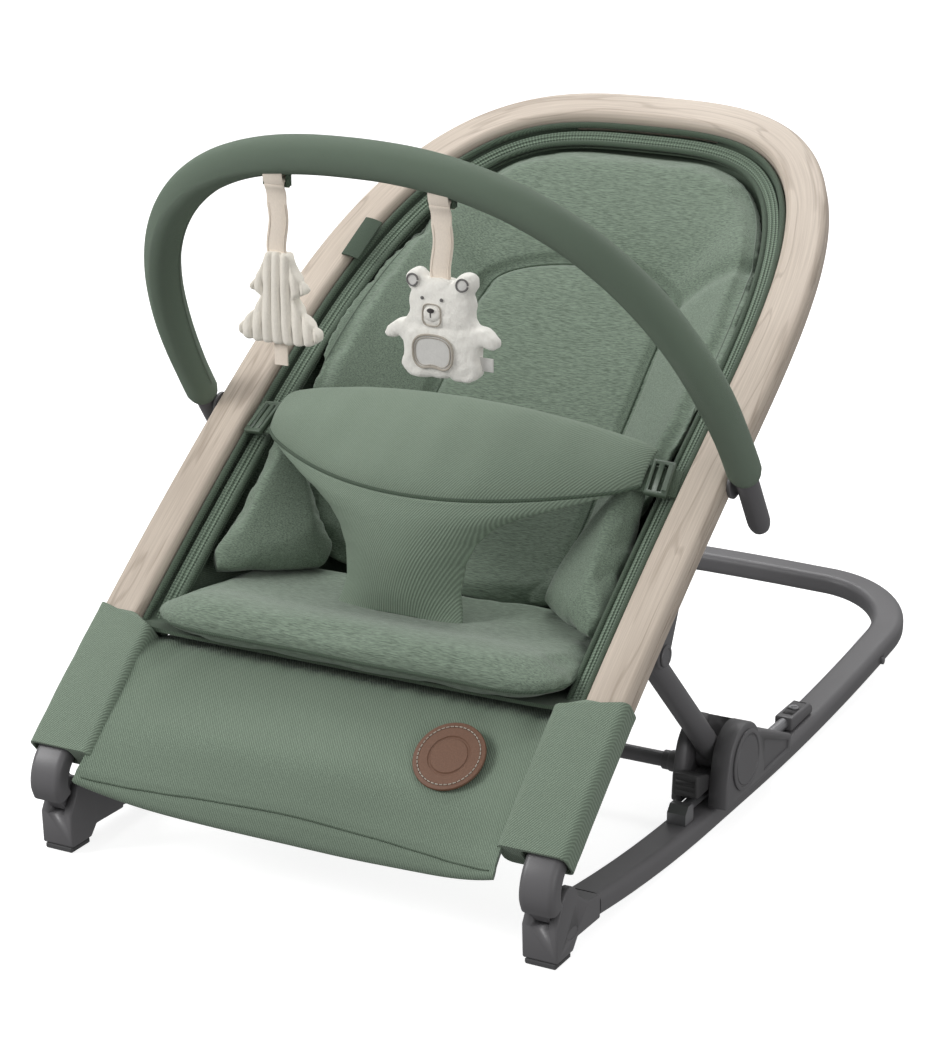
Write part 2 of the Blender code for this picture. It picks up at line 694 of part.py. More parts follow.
def toy_bar():
    """The foam sleeve: a little thinner at its ends, where it passes the wood."""
    ts = [math.radians(0.78 + 178.44 * (1 - math.cos(math.pi * k / 48)) / 2) for k in range(49)]
    points = [arch_curve(t) for t in ts]
    rings = tube_rings(points, 1.0, 14)
    for ring, centre, t in zip(rings, points, ts):
        near = max(0.0, 1 - math.sin(t) / 0.30)
        radius = FOAM_R + (FOAM_END_R - FOAM_R) * min(1.0, near * 1.6)
        ring[:] = [centre + (np.array(q) - centre) * radius for q in ring]
    return make_object("toy_bar", *loft(rings), green("toy_bar"), pivot=(0, *ARCH_PIVOT))


def toy_bar_tube(tag, side):
    """The bare end of the arch, which carries on past the clip."""
    x = ARCH_HALF - 0.0004
    points = [arch_point(x, 0.0112), arch_point(x, 0.0010), arch_point(x - 0.0004, -0.0230),
              arch_point(x - 0.0008, -0.0480)]
    return make_object("toy_bar_tube_" + tag, *mirrored(loft(tube_rings(points, TUBE_R, 14)), side),
                       plastic("toy_bar_tube_" + tag), pivot=(side * x, *ARCH_PIVOT))


def toy_base(x):
    """The underside of the arch above a toy."""
    t = math.acos((abs(x) / ARCH_HALF) ** (ARCH_POWER / 2))
    point = arch_curve(t)
    return np.array((x, point[1], point[2] - FOAM_R))


def toy_loop(tag, side):
    """A small cloth loop under the arch that a toy hangs from."""
    x, y, z = toy_base(TOY_X[side])
    rings = [[(x + dx, y + a, z - 0.0064 + b) for a, b in circle(0.0028, 10)] for dx in (-0.0110, 0.0110)]
    return make_object("toy_loop_" + tag, *loft(rings), green("toy_loop_" + tag), pivot=(x, y, z - 0.0064))


def toy_strap(name, side, drop):
    x, y, z = toy_base(TOY_X[side])
    top = z - 0.0098
    outline = [(y - 0.0011, top), (y + 0.0011, top), (y + 0.0011, z - drop), (y - 0.0011, z - drop)]
    return make_object(name, *prism(outline, x - 0.0078, x + 0.0078), cream(name), pivot=(x, y, z - 0.0064))


def plush(name, outline, x, y, half, pivot):
    """A stuffed flat toy: a front-view outline with a crowned front and back."""
    cx = sum(p[0] for p in outline) / len(outline)
    cz = sum(p[1] for p in outline) / len(outline)
    rings = []
    for scale, depth in ((0.55, -1.0), (0.85, -0.75), (1.0, -0.15), (1.0, 0.15), (0.85, 0.75), (0.55, 1.0)):
        rings.append([(x + cx + (px - cx) * scale, y + half * depth, cz + (pz - cz) * scale)
                      for px, pz in outline])
    return make_object(name, *loft(rings), cream(name), pivot=pivot)


def tree_toy():
    x, y, z = toy_base(TOY_X[-1])
    top = z - 0.0533
    right = [(0.0100, 0.0), (0.0250, -0.0270), (0.0170, -0.0310), (0.0330, -0.0600), (0.0280, -0.0670)]
    outline = [(a, top + b) for a, b in right] + [(-a, top + b) for a, b in reversed(right)]
    return plush("tree_toy", outline, x, y, 0.0110, (x, y, z - 0.0064))


def bear_toy():
    x, y, z = toy_base(TOY_X[1])
    top = z - 0.0543
    right = [(0.0090, 0.0), (0.0200, 0.0010), (0.0270, -0.0060), (0.0235, -0.0220), (0.0280, -0.0290),
             (0.0420, -0.0340), (0.0400, -0.0420), (0.0290, -0.0400), (0.0310, -0.0620), (0.0240, -0.0750),
             (0.0120, -0.0760)]
    outline = [(a, top + b) for a, b in right] + [(-a, top + b) for a, b in reversed(right)]
    return plush("bear_toy", outline, x, y, 0.0130, (x, y, z - 0.0064))


# ---- legs and hubs -------------------------------------------------------------------------

def support_leg(tag, side):
    """The tube between the seat frame and the hub, with an eye at each end."""
    (y0, z0), (y1, z1) = LEG_PIVOT, HUB_PIVOT
    length = math.hypot(y1 - y0, z1 - z0)
    dy, dz = (y1 - y0) / length, (z1 - z0) / length
    points = [(LEG_X, y0 + dy * d, z0 + dz * d) for d in (0.004, length * 0.5, length - 0.004)]
    obj = make_object("support_leg_" + tag, *mirrored(loft(tube_rings(points, 0.0092, 16)), side),
                      plastic("support_leg_" + tag), pivot=(side * LEG_X, y0, z0))
    for y, z, radius, bore in ((y0, z0, 0.0096, 0.0033), (y1, z1, 0.0115, 0.0043)):
        combine(obj, mirrored(x_cylinder(y, z, LEG_X - 0.0095, LEG_X + 0.0095, radius, 24), side), "UNION")
        combine(obj, mirrored(x_cylinder(y, z, LEG_X - 0.02, LEG_X + 0.02, bore, 20), side), "DIFFERENCE")
    return obj


def hub_outline():
    y, z = HUB_PIVOT
    return [(0.2385, 0.0205), (0.3000, 0.0205), (0.3620, 0.0228), (0.3620, 0.0380), (0.3040, 0.0620)] + \
        arc(y, z, 0.0285, 30, 165, 12) + [(0.2400, 0.0400)]


def hub(tag, side):
    """The carriage over the guide rod: two cheeks with the leg between them, and a channel below."""
    y, z = HUB_PIVOT
    obj = make_object("hub_" + tag, *mirrored(prism(hub_outline(), HUB_IN, HUB_OUT), side), plastic("hub_" + tag),
                      pivot=(side * LEG_X, y, z))
    bevel(obj, 0.0015, 1)
    low = 0.0370
    slot = [(0.2300, low), (0.2850, low), (0.2880, 0.0500), (0.2860, 0.1000), (0.2300, 0.1000)]
    combine(obj, mirrored(prism(slot, SLOT_IN, SLOT_OUT), side), "DIFFERENCE")
    combine(obj, mirrored(box(SLOT_IN, SLOT_OUT, 0.2300, 0.2475, 0.0100, 0.1000), side), "DIFFERENCE")
    combine(obj, mirrored(box(RAIL_X - 0.0090, RAIL_X + 0.0090, 0.2000, 0.4000, 0.0100, 0.0360), side),
            "DIFFERENCE")
    combine(obj, mirrored(x_cylinder(y, z, SLOT_IN - 0.002, SLOT_OUT + 0.002, 0.0040, 20), side), "UNION")
    return obj


def hub_cap(tag, side):
    y, z = HUB_PIVOT
    rings = [[(HUB_OUT + GAP + t, y + a * r, z + b * r) for a, b in circle(1.0, 32)]
             for r, t in ((0.0235, 0.0), (0.0235, 0.0010), (0.0222, 0.0018))]
    return make_object("hub_cap_" + tag, *mirrored(loft(rings), side), plastic("hub_cap_" + tag))


def release_button(tag, side):
    """The squeeze block in front of the hub that frees its sliding catch, low at its back to clear the leg."""
    outline = [(0.2210, 0.0335), (0.2430, 0.0335), (0.2430, 0.0455), (0.2210, 0.0515)]
    shape = prism(outline, SLOT_IN + 0.0008, SLOT_OUT - 0.0008)
    obj = make_object("release_button_" + tag, *mirrored(shape, side), plastic("release_button_" + tag),
                      pivot=(side * LEG_X, 0.2430, 0.0430))
    return bevel(obj, 0.0015, 2)


def cross_tube():
    """The tube that joins the two hubs, with a collar at each end."""
    y, z = 0.2700, 0.0380
    profile = [(HUB_IN - GAP, 0.0082), (HUB_IN - 0.0140, 0.0082), (HUB_IN - 0.0150, 0.0074),
               (HUB_IN - 0.0200, 0.0074), (HUB_IN - 0.0202, 0.0058)]
    profile += [(-x, r) for x, r in reversed(profile)]
    rings = [[(x, y + a * r, z + b * r) for a, b in circle(1.0, 16)] for x, r in profile]
    return make_object("cross_tube", *loft(rings), plastic("cross_tube"))


def build():
    clear_scene()
    base_frame()
    seat_frame()
    seat_cover()
    front_panel()
    seat_pad()
    back_pad()
    waist_belt()
    crotch_panel()
    badge()
    side_label()
    toy_bar()
    toy_strap("tree_strap", -1, 0.0530)
    toy_strap("bear_strap", 1, 0.0540)
    tree_toy()
    bear_toy()
    cross_tube()
    pairs = (front_foot, foot_pad, guide_rod, guide_bracket, guide_screw, rear_stand, front_knuckle, leg_bracket,
             pivot_cap, arch_clip, side_wing, corner_sleeve, belt_webbing, belt_buckle, toy_bar_tube, toy_loop,
             support_leg, hub, hub_cap, release_button)
    for make in pairs:
        make("L", -1)
        make("R", 1)


build()
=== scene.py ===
import math

import bmesh
import bpy
import numpy as np
from mathutils import Matrix, Vector, noise
from mathutils.bvhtree import BVHTree


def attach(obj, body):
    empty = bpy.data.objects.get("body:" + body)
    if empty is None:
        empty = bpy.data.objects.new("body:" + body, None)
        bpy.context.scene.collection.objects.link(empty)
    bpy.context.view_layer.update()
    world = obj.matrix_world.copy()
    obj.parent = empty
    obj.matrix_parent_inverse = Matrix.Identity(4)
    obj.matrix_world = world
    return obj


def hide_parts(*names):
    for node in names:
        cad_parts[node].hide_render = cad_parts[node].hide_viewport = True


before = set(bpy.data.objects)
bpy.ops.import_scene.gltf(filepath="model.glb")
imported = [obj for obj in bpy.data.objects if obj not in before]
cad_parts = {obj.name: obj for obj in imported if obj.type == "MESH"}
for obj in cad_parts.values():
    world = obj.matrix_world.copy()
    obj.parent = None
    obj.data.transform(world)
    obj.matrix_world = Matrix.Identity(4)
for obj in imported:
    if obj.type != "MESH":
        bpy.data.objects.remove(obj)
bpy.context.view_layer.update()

# Points are given with y = 0 at the front feet. The meshes are moved by this much to the row's frame.
CENTRE_Y = 0.3475
# The rails: sideways place, height, and the flat middle of their rocking curve.
RAIL_X, RAIL_H, ROCK_Y, ROCK_FLAT = 0.1985, 0.018, 0.28, 0.04
# (y, z) of the sideways axes that the parts turn on.
FOOT_PIVOT, LEG_PIVOT = (0.005, 0.042), (0.148, 0.172)
HUB_PIVOT, ARCH_PIVOT = (0.272, 0.050), (0.2494, 0.2704)
LEG_X = 0.1975
# The seat line: its start, its slope, its length, and how far its middle bows out.
SEAT_BASE, SEAT_ANGLE, SEAT_LENGTH, SEAT_BOW = (0.091, 0.157), math.radians(32.1), 0.590, 0.015
ALONG = np.array((math.cos(SEAT_ANGLE), math.sin(SEAT_ANGLE)))
OUT = np.array((-math.sin(SEAT_ANGLE), math.cos(SEAT_ANGLE)))
# The wood strip, and the superellipse of the head end of its outline.
STRIP_W, STRIP_T, OUTER_HALF = 0.032, 0.020, 0.2165
HEAD_START, HEAD_RISE, HEAD_POWER = 0.200, 0.390, 3.1
# (y, z) down the middle of the hammock.
SLING = ((0.052, 0.1500), (0.084, 0.1500), (0.118, 0.1425), (0.165, 0.1385), (0.210, 0.1400), (0.243, 0.1510),
         (0.275, 0.1730), (0.330, 0.2220), (0.400, 0.2860), (0.480, 0.3590), (0.545, 0.4170), (0.588, 0.4540))
# The toy arch: its lean, the superellipse of its curve, its foam, and where the toys hang.
LEAN, TOY_X = math.radians(34.1), {-1: -0.058, 1: 0.071}
ARCH_HALF, ARCH_STEM, ARCH_RISE, ARCH_POWER = 0.2297, 0.004, 0.2925, 2.39
FOAM_R, FOAM_END_R = 0.0138, 0.0128
BACK_INSET, BELT_HALF = 0.0495, 0.157
BOWL_HALF, BOWL_EDGE, BOWL_POWER = 0.165, -0.010, 3.2


# ---- materials -----------------------------------------------------------------------------

def nodes_of(name, colour, roughness, metallic=0.0, sheen=0.0, specular=0.5):
    """A material with its shader's sockets set."""
    mat = bpy.data.materials.new(name)
    mat.use_nodes = True
    shader = mat.node_tree.nodes["Principled BSDF"]
    values = {"Base Color": (*colour, 1.0), "Roughness": roughness, "Metallic": metallic,
              "Sheen Weight": sheen, "Sheen Roughness": 0.5, "Specular IOR Level": specular}
    for socket, value in values.items():
        shader.inputs[socket].default_value = value
    return mat, mat.node_tree, shader


def node(tree, kind, space=None, **values):
    """A node with its sockets and settings, fed with coordinates if they are given."""
    made = tree.nodes.new(kind)
    for key, value in values.items():
        if key in made.inputs:
            made.inputs[key].default_value = value
        else:
            setattr(made, key, value)
    if space is not None:
        tree.links.new(space, made.inputs["Vector"])
    return made


def coords(tree, source="Object", scale=(1, 1, 1), tilt=0.0, spin=0.0):
    """Object or UV coordinates, turned by tilt about X and spin about Z, then scaled."""
    space = tree.nodes.new("ShaderNodeTexCoord").outputs[source]
    for values in ({"Rotation": (tilt, 0, 0)}, {"Rotation": (0, 0, spin)}, {"Scale": scale}):
        space = node(tree, "ShaderNodeMapping", space, **values).outputs[0]
    return space


def speckle(tree, space, scale, detail, **values):
    """The factor of a noise texture."""
    return node(tree, "ShaderNodeTexNoise", space, Scale=scale, Detail=detail, **values).outputs["Fac"]


def stretched(tree, value, low, high):
    """A factor moved from low..high to 0..1."""
    made = node(tree, "ShaderNodeMapRange", **{"From Min": low, "From Max": high})
    tree.links.new(value, made.inputs["Value"])
    return made.outputs["Result"]


def tint(tree, shader, factor, low, high):
    """Base colour from a 0..1 factor between two colours."""
    ramp = tree.nodes.new("ShaderNodeMix")
    ramp.data_type = "RGBA"
    ramp.inputs[6].default_value = (*low, 1.0)
    ramp.inputs[7].default_value = (*high, 1.0)
    tree.links.new(factor, ramp.inputs[0])
    tree.links.new(ramp.outputs[2], shader.inputs["Base Color"])


def shades(colour, low, high):
    """A darker and a lighter shade of a colour."""
    return tuple(c * low for c in colour), tuple(min(1.0, c * high) for c in colour)


def bump(tree, shader, height, strength, distance):
    made = node(tree, "ShaderNodeBump", Strength=strength, Distance=distance)
    tree.links.new(height, made.inputs["Height"])
    tree.links.new(made.outputs[0], shader.inputs["Normal"])


def add_heights(tree, a, b, weight):
    made = node(tree, "ShaderNodeMath", operation="MULTIPLY_ADD")
    tree.links.new(b, made.inputs[0])
    made.inputs[1].default_value = weight
    tree.links.new(a, made.inputs[2])
    return made.outputs[0]


def grained(name, colour, roughness, scale, detail, strength, depth=0.0002, squash=(1, 1, 1), **finish):
    """An even colour with a fine grain in its surface."""
    mat, tree, shader = nodes_of(name, colour, roughness, **finish)
    bump(tree, shader, speckle(tree, coords(tree, "Object", squash), scale, detail), strength, depth)
    return mat


def plastic(name, colour=(0.132, 0.129, 0.134), roughness=0.40):
    """Moulded plastic, a little cloudy."""
    mat = grained(name, colour, roughness, 900.0, 3.0, 0.25, specular=0.45)
    tree = mat.node_tree
    cloud = speckle(tree, coords(tree), 25.0, 2.0)
    tint(tree, tree.nodes["Principled BSDF"], cloud, *shades(colour, 0.93, 1.07))
    return mat


def wood(name):
    """Washed oak: long wavering grain along the strip, read from UVs in metres."""
    mat, tree, shader = nodes_of(name, (0.50, 0.43, 0.36), 0.50, specular=0.30)
    slow = speckle(tree, coords(tree, "UV", (2.6, 22.0, 1)), 1.0, 3.0, Roughness=0.55)
    rings = node(tree, "ShaderNodeMath", operation="MULTIPLY")
    rings.inputs[1].default_value = 46.0
    tree.links.new(slow, rings.inputs[0])
    wave = node(tree, "ShaderNodeMath", operation="SINE")
    tree.links.new(rings.outputs[0], wave.inputs[0])
    lines = stretched(tree, wave.outputs[0], 0.80, 1.0)
    fine = speckle(tree, coords(tree, "UV", (12.0, 700.0, 1)), 1.0, 4.0, Roughness=0.7)
    broad = speckle(tree, coords(tree, "UV", (7.0, 20.0, 1)), 1.0, 1.0)
    mixed = add_heights(tree, add_heights(tree, fine, lines, -0.26), broad, 0.5)
    tint(tree, shader, mixed, (0.255, 0.198, 0.152), (0.620, 0.540, 0.458))
    bump(tree, shader, mixed, 0.12, 0.0003)
    return mat


def jersey(name, colour=(0.160, 0.208, 0.158)):
    """Heathered jersey: short sideways streaks of lighter and darker yarn over a fine knit."""
    mat, tree, shader = nodes_of(name, colour, 0.92, sheen=0.20, specular=0.2)
    space = coords(tree, "Object", (150.0, 1400.0, 1400.0), tilt=-SEAT_ANGLE)
    streak = speckle(tree, space, 1.0, 3.0, Roughness=0.65)
    tint(tree, shader, stretched(tree, streak, 0.30, 0.70), *shades(colour, 0.56, 1.44))
    bump(tree, shader, streak, 0.45, 0.0006)
    return mat


def weave(tree, shader, height, top, colour, contrast, strength, depth):
    """Colour and relief of a weave from its height, which runs from 0 to top."""
    tint(tree, shader, stretched(tree, height, 0.0, top), *shades(colour, 1 - contrast, 1 + contrast))
    bump(tree, shader, height, strength, depth)


def bands(tree, space, pitch, direction, **values):
    """The factor of a wave texture whose bands are a pitch apart."""
    return node(tree, "ShaderNodeTexWave", space, Scale=0.314 / pitch, bands_direction=direction,
                **values).outputs["Fac"]


def twill(name, colour=(0.180, 0.232, 0.176), pitch=0.0016, spin=35, source="Object", contrast=0.28):
    """Diagonal ribs of a woven twill with a little yarn noise."""
    mat, tree, shader = nodes_of(name, colour, 0.85, sheen=0.12, specular=0.25)
    tilt = -SEAT_ANGLE if source == "Object" else 0.0
    space = coords(tree, source, tilt=tilt, spin=math.radians(spin))
    ribs = bands(tree, space, pitch, "X", Distortion=0.6, Detail=1.0, **{"Detail Scale": 4.0})
    height = add_heights(tree, ribs, speckle(tree, space, 900.0, 2.0), 0.6)
    weave(tree, shader, height, 1.4, colour, contrast, 0.55, 0.0006)
    return mat


def ribbed(name, colour, pitch, contrast=0.25):
    """Webbing or tape with ribs both ways, read from UVs in metres."""
    mat, tree, shader = nodes_of(name, colour, 0.85, sheen=0.1, specular=0.25)
    space = coords(tree, "UV")
    along, across = (bands(tree, space, pitch, direction, Distortion=0.2) for direction in "XY")
    weave(tree, shader, add_heights(tree, along, across, 0.7), 1.7, colour, contrast, 0.6, 0.0005)
    return mat


def plush(name, colour=(0.95, 0.905, 0.835), scale=420.0, depth=0.0016):
    """Fur, thread or another fuzzy cloth."""
    mat, tree, shader = nodes_of(name, colour, 0.95, sheen=0.5, specular=0.15)
    fur = speckle(tree, coords(tree, "Object", (1, 1, 0.6)), scale, 5.0, Roughness=0.75)
    tint(tree, shader, fur, *shades(colour, 0.86, 1.12))
    bump(tree, shader, fur, 0.6, depth)
    return mat


def leather(name, colour=(0.150, 0.075, 0.045)):
    """Fine-pored leather."""
    mat, tree, shader = nodes_of(name, colour, 0.55, specular=0.4)
    cells = node(tree, "ShaderNodeTexVoronoi", coords(tree), Scale=900.0).outputs["Distance"]
    tint(tree, shader, cells, *shades(colour, 0.88, 1.15))
    bump(tree, shader, cells, 0.3, 0.0003)
    return mat


MAT = {
    "plastic": plastic("grey_plastic_look"),
    "plastic_dark": plastic("grey_plastic_dark_look", (0.055, 0.054, 0.055), 0.5),
    "green_plastic": plastic("green_plastic_look", (0.075, 0.105, 0.074), 0.45),
    "rubber": grained("rubber_look", (0.075, 0.075, 0.077), 0.8, 1200.0, 2.0, 0.4),
    "steel": grained("steel_look", (0.32, 0.32, 0.33), 0.35, 700.0, 2.0, 0.15, 0.0001, (1, 0.1, 1),
                     metallic=0.85),
    "wood": wood("oak_look"),
    "jersey": jersey("jersey_look"),
    "twill": twill("twill_look"),
    "twill_panel": twill("twill_panel_look", (0.172, 0.224, 0.169), spin=-38),
    "cover": twill("cover_look", (0.085, 0.118, 0.083), 0.0012),
    "edging": twill("edging_look", (0.070, 0.100, 0.069), 0.0012),
    "label": twill("label_look", (0.060, 0.088, 0.060), 0.0008),
    "arch": twill("arch_look", (0.170, 0.226, 0.168), 0.0022, 24, "UV", 0.20),
    "tape": ribbed("tape_look", (0.150, 0.200, 0.148), 0.0026, 0.5),
    "webbing": ribbed("webbing_look", (0.090, 0.125, 0.088), 0.0014),
    "plush": plush("plush_look"),
    "corduroy": plush("corduroy_look", (0.880, 0.830, 0.735), 700.0, 0.0006),
    "cream_strap": plush("cream_strap_look", (0.860, 0.760, 0.650), 900.0, 0.0004),
    "patch": plush("patch_look", (0.66, 0.65, 0.62), 900.0, 0.0003),
    "leather": leather("leather_look"),
}
for thread, colour in {"thread": (0.42, 0.38, 0.32), "green_thread": (0.120, 0.158, 0.118),
                       "dark_thread": (0.05, 0.045, 0.045), "grey_thread": (0.16, 0.155, 0.15)}.items():
    MAT[thread] = plush(thread + "_look", colour, 900.0, 0.0002)


# ---- mesh helpers --------------------------------------------------------------------------

def new_object(name, verts, faces, mat, uvs=None, smooth=40.0):
    """A mesh from design-frame points, put in the row's frame, with its normals out."""
    verts = np.array(verts, float) - (0, CENTRE_Y, 0)
    mesh = bpy.data.meshes.new(name)
    mesh.from_pydata(verts.tolist(), [], [tuple(f) for f in faces])
    if uvs is not None:
        layer = mesh.uv_layers.new(name="UVMap")
        layer.data.foreach_set("uv", np.array([uv for face in uvs for uv in face], float).ravel())
    bm = bmesh.new()
    bm.from_mesh(mesh)
    bmesh.ops.recalc_face_normals(bm, faces=bm.faces)
    bm.to_mesh(mesh)
    bm.free()
    mesh.shade_smooth()
    mesh.set_sharp_from_angle(angle=math.radians(smooth))
    mesh.materials.append(MAT[mat])
    obj = bpy.data.objects.new(name, mesh)
    bpy.context.scene.collection.objects.link(obj)
    return obj


def loft(rings, caps=True):
    """A skin over rings of equally many points."""
    count = len(rings[0])
    verts = [p for ring in rings for p in ring]
    faces = []
    for a in range(0, len(verts) - count, count):
        b = a + count
        faces += [(a + k, a + (k + 1) % count, b + (k + 1) % count, b + k) for k in range(count)]
    if caps:
        faces += [tuple(range(count)), tuple(range(len(verts) - count, len(verts)))]
    return verts, faces


def run_of(points):
    """The distance along a path at each of its points."""
    return np.concatenate([[0], np.cumsum(np.linalg.norm(np.diff(points, axis=0), axis=1))])


def swept(name, path, sides, ups, section, mat, smooth=40.0):
    """A section carried along a path, with UVs in metres along the path and round the section."""
    path, sides, ups = np.array(path, float), np.array(sides, float), np.array(ups, float)
    rings = [[p + a * s + b * u for a, b in section] for p, s, u in zip(path, sides, ups)]
    run, girth = run_of(path), run_of(np.array(section + [section[0]], float))
    uvs = []
    for u0, u1 in zip(run, run[1:]):
        uvs += [[(u0, v0), (u0, v1), (u1, v1), (u1, v0)] for v0, v1 in zip(girth, girth[1:])]
    uvs += [[(0.0, 0.0)] * len(section)] * 2
    return new_object(name, *loft(rings), mat, uvs, smooth)


def rounded_rect(width, height, radius, steps):
    points = []
    for quarter in range(4):
        cx = (width / 2 - radius) * (1 if quarter in (0, 3) else -1)
        cy = (height / 2 - radius) * (1 if quarter in (0, 1) else -1)
        for k in range(steps):
            angle = math.radians(90 * quarter + 90 * k / (steps - 1))
            points.append((cx + radius * math.cos(angle), cy + radius * math.sin(angle)))
    return points


def circle(radius, count):
    """Evenly spaced points round a circle."""
    turns = [2 * math.pi * k / count for k in range(count)]
    return [(radius * math.cos(a), radius * math.sin(a)) for a in turns]


def directions(path):
    path = np.array(path, float)
    tangents = np.gradient(path, axis=0)
    return tangents / np.linalg.norm(tangents, axis=1)[:, None]


def tube(name, points, radius, mat, count, ends=True):
    """A round tube along a path, with rounded ends. Radius is a number or one value per point."""
    points = np.array(points, float)
    radii = np.broadcast_to(np.array(radius, float), (len(points),))
    if ends:
        t0, t1 = directions(points)[[0, -1]]
        r0, r1 = radii[[0, -1]]
        points = np.vstack([points[0] - t0 * r0 * 0.30, points[0] - t0 * r0 * 0.20, points,
                            points[-1] + t1 * r1 * 0.20, points[-1] + t1 * r1 * 0.30])
        radii = np.concatenate([[r0 * 0.55, r0 * 0.90], radii, [r1 * 0.90, r1 * 0.55]])
    tangents = directions(points)
    side = np.cross(tangents[0], (0.31, 0.2, 0.93))
    sides = []
    for tangent in tangents:
        side = side - tangent * (side @ tangent)
        side /= np.linalg.norm(side)
        sides.append(side)
    sides = np.array(sides)
    ups = np.cross(tangents, sides)
    return swept(name, points, sides * radii[:, None], ups * radii[:, None], circle(1.0, count), mat)


def bar(name, points, sides, width, thick, mat):
    """A flat strap along a path; sides gives its width direction at each point."""
    tangents = directions(points)
    sides = np.array(sides, float)
    sides -= tangents * np.sum(sides * tangents, axis=1)[:, None]
    sides /= np.linalg.norm(sides, axis=1)[:, None]
    section = rounded_rect(width, thick, thick * 0.45, 3)
    return swept(name, points, sides, np.cross(tangents, sides), section, mat)


def prism(outline_yz, x0, x1):
    return loft([[(x, y, z) for y, z in outline_yz] for x in (x0, x1)])


def about(middle, half):
    return middle - half, middle + half


def arc(y, z, radius, start, end, steps):
    turns = [math.radians(start + (end - start) * k / steps) for k in range(steps + 1)]
    return [(y + radius * math.cos(a), z + radius * math.sin(a)) for a in turns]


def x_disc(centre, span, radius, count=40):
    """A disc round a sideways axis, over a span of x."""
    return prism([(centre[0] + a, centre[1] + b) for a, b in circle(radius, count)], *span)


def box(x0, x1, y0, y1, z0, z1):
    return prism([(y0, z0), (y1, z0), (y1, z1), (y0, z1)], x0, x1)


def mirrored(shape, side):
    return [(p[0] * side, p[1], p[2]) for p in shape[0]], shape[1]


def settle(obj):
    """Applies every modifier to the mesh."""
    bpy.context.view_layer.update()
    graph = bpy.context.evaluated_depsgraph_get()
    mesh = bpy.data.meshes.new_from_object(obj.evaluated_get(graph), preserve_all_data_layers=True,
                                           depsgraph=graph)
    obj.modifiers.clear()
    obj.data = mesh


def combine(target, operation, side, *shapes):
    """Cuts shapes from a piece or joins them to it. They are given for the right side."""
    for shape in shapes:
        tool = new_object("tool", *mirrored(shape, side), "plastic")
        modifier = target.modifiers.new("b", "BOOLEAN")
        modifier.operation, modifier.object = operation, tool
        settle(target)
        bpy.data.objects.remove(tool, do_unlink=True)


def soften(obj, width, segments=3, angle=35.0):
    """Rounds the edges that are sharper than an angle."""
    modifier = obj.modifiers.new("edge", "BEVEL")
    modifier.width, modifier.segments, modifier.limit_method = width, segments, "ANGLE"
    modifier.angle_limit, modifier.harden_normals = math.radians(angle), False
    settle(obj)
    obj.data.shade_smooth()
    obj.data.set_sharp_from_angle(angle=math.radians(50))


def finish_piece(obj, body, slot, *replaces):
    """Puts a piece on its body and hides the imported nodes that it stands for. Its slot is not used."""
    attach(obj, body)
    if replaces:
        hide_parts(*replaces)


# ---- seat geometry -------------------------------------------------------------------------

def seat_bow(s):
    return 4 * SEAT_BOW * (s / SEAT_LENGTH) * (1 - s / SEAT_LENGTH)


def seat_point(x, s, lift=0.0):
    """The point at s along the seat line, and lift out from it."""
    n = seat_bow(s) + lift
    return np.array((x, SEAT_BASE[0] + s * ALONG[0] + n * OUT[0], SEAT_BASE[1] + s * ALONG[1] + n * OUT[1]))


def seat_normal(s):
    """The direction out from the seat line at s."""
    step = seat_point(0, s + 0.001) - seat_point(0, s - 0.001)
    step /= np.linalg.norm(step)
    return np.array((0.0, -step[2], step[1]))


def outline(inset, steps, start):
    """(x, s) along the seat frame's outline moved in by an inset, from right to left."""
    a, b = OUTER_HALF - inset, HEAD_RISE - inset
    right = [(a, s) for s in np.linspace(start, HEAD_START, max(3, steps // 3))]
    for k in range(1, steps + 1):
        t = math.pi / 2 * k / steps
        right.append((a * math.cos(t) ** (2 / HEAD_POWER), HEAD_START + b * math.sin(t) ** (2 / HEAD_POWER)))
    return right + [(-x, s) for x, s in reversed(right[:-1])]


def even(points, count):
    """The same path resampled at equal steps."""
    points = np.array(points, float)
    run = run_of(points)
    at = np.linspace(0, run[-1], count)
    return np.stack([np.interp(at, run, points[:, k]) for k in range(points.shape[1])], axis=1)


def head_half(s, inset):
    """Half the width inside the frame's outline at s."""
    ratio = min(1.0, max(0.0, s - HEAD_START) / (HEAD_RISE - inset))
    return (OUTER_HALF - inset) * (1 - ratio ** HEAD_POWER) ** (1 / HEAD_POWER)


def spline(points, t):
    """A smooth curve through points, at point t."""
    pts = [np.array(p, float) for p in points]
    pts = [2 * pts[0] - pts[1]] + pts + [2 * pts[-1] - pts[-2]]
    i = max(0, min(int(t), len(points) - 2))
    f = t - i
    a, b, c, d = pts[i:i + 4]
    square, cube = 2 * a - 5 * b + 4 * c - d, 3 * b - a - 3 * c + d
    return 0.5 * (2 * b + (c - a) * f + square * f * f + cube * f ** 3)


def smooth_path(points, count):
    return np.array([spline(points, t) for t in np.linspace(0, len(points) - 1, count)])


def sling_t(y):
    """Where the hammock's middle line reaches y."""
    low, high = 0.0, len(SLING) - 1.0
    for _ in range(40):
        middle = (low + high) / 2
        low, high = (middle, high) if spline(SLING, middle)[0] < y else (low, middle)
    return low


def sling_point(t, x, lift, power=10):
    """A point over the hammock's cloth at a sideways position x."""
    centre = spline(SLING, t)
    step = spline(SLING, t + 0.01) - spline(SLING, t - 0.01)
    step /= np.linalg.norm(step)
    relative = centre - np.array(SEAT_BASE)
    s = float(relative @ ALONG)
    depth = max(0.004, seat_bow(s) - float(relative @ OUT))
    half = head_half(min(s, 0.5560), STRIP_W) - 0.0006
    v = min(1.0, abs(x) / half)
    place = centre + OUT * depth * v ** power + np.array((-step[1], step[0])) * lift
    return np.array((x, place[0], place[1]))


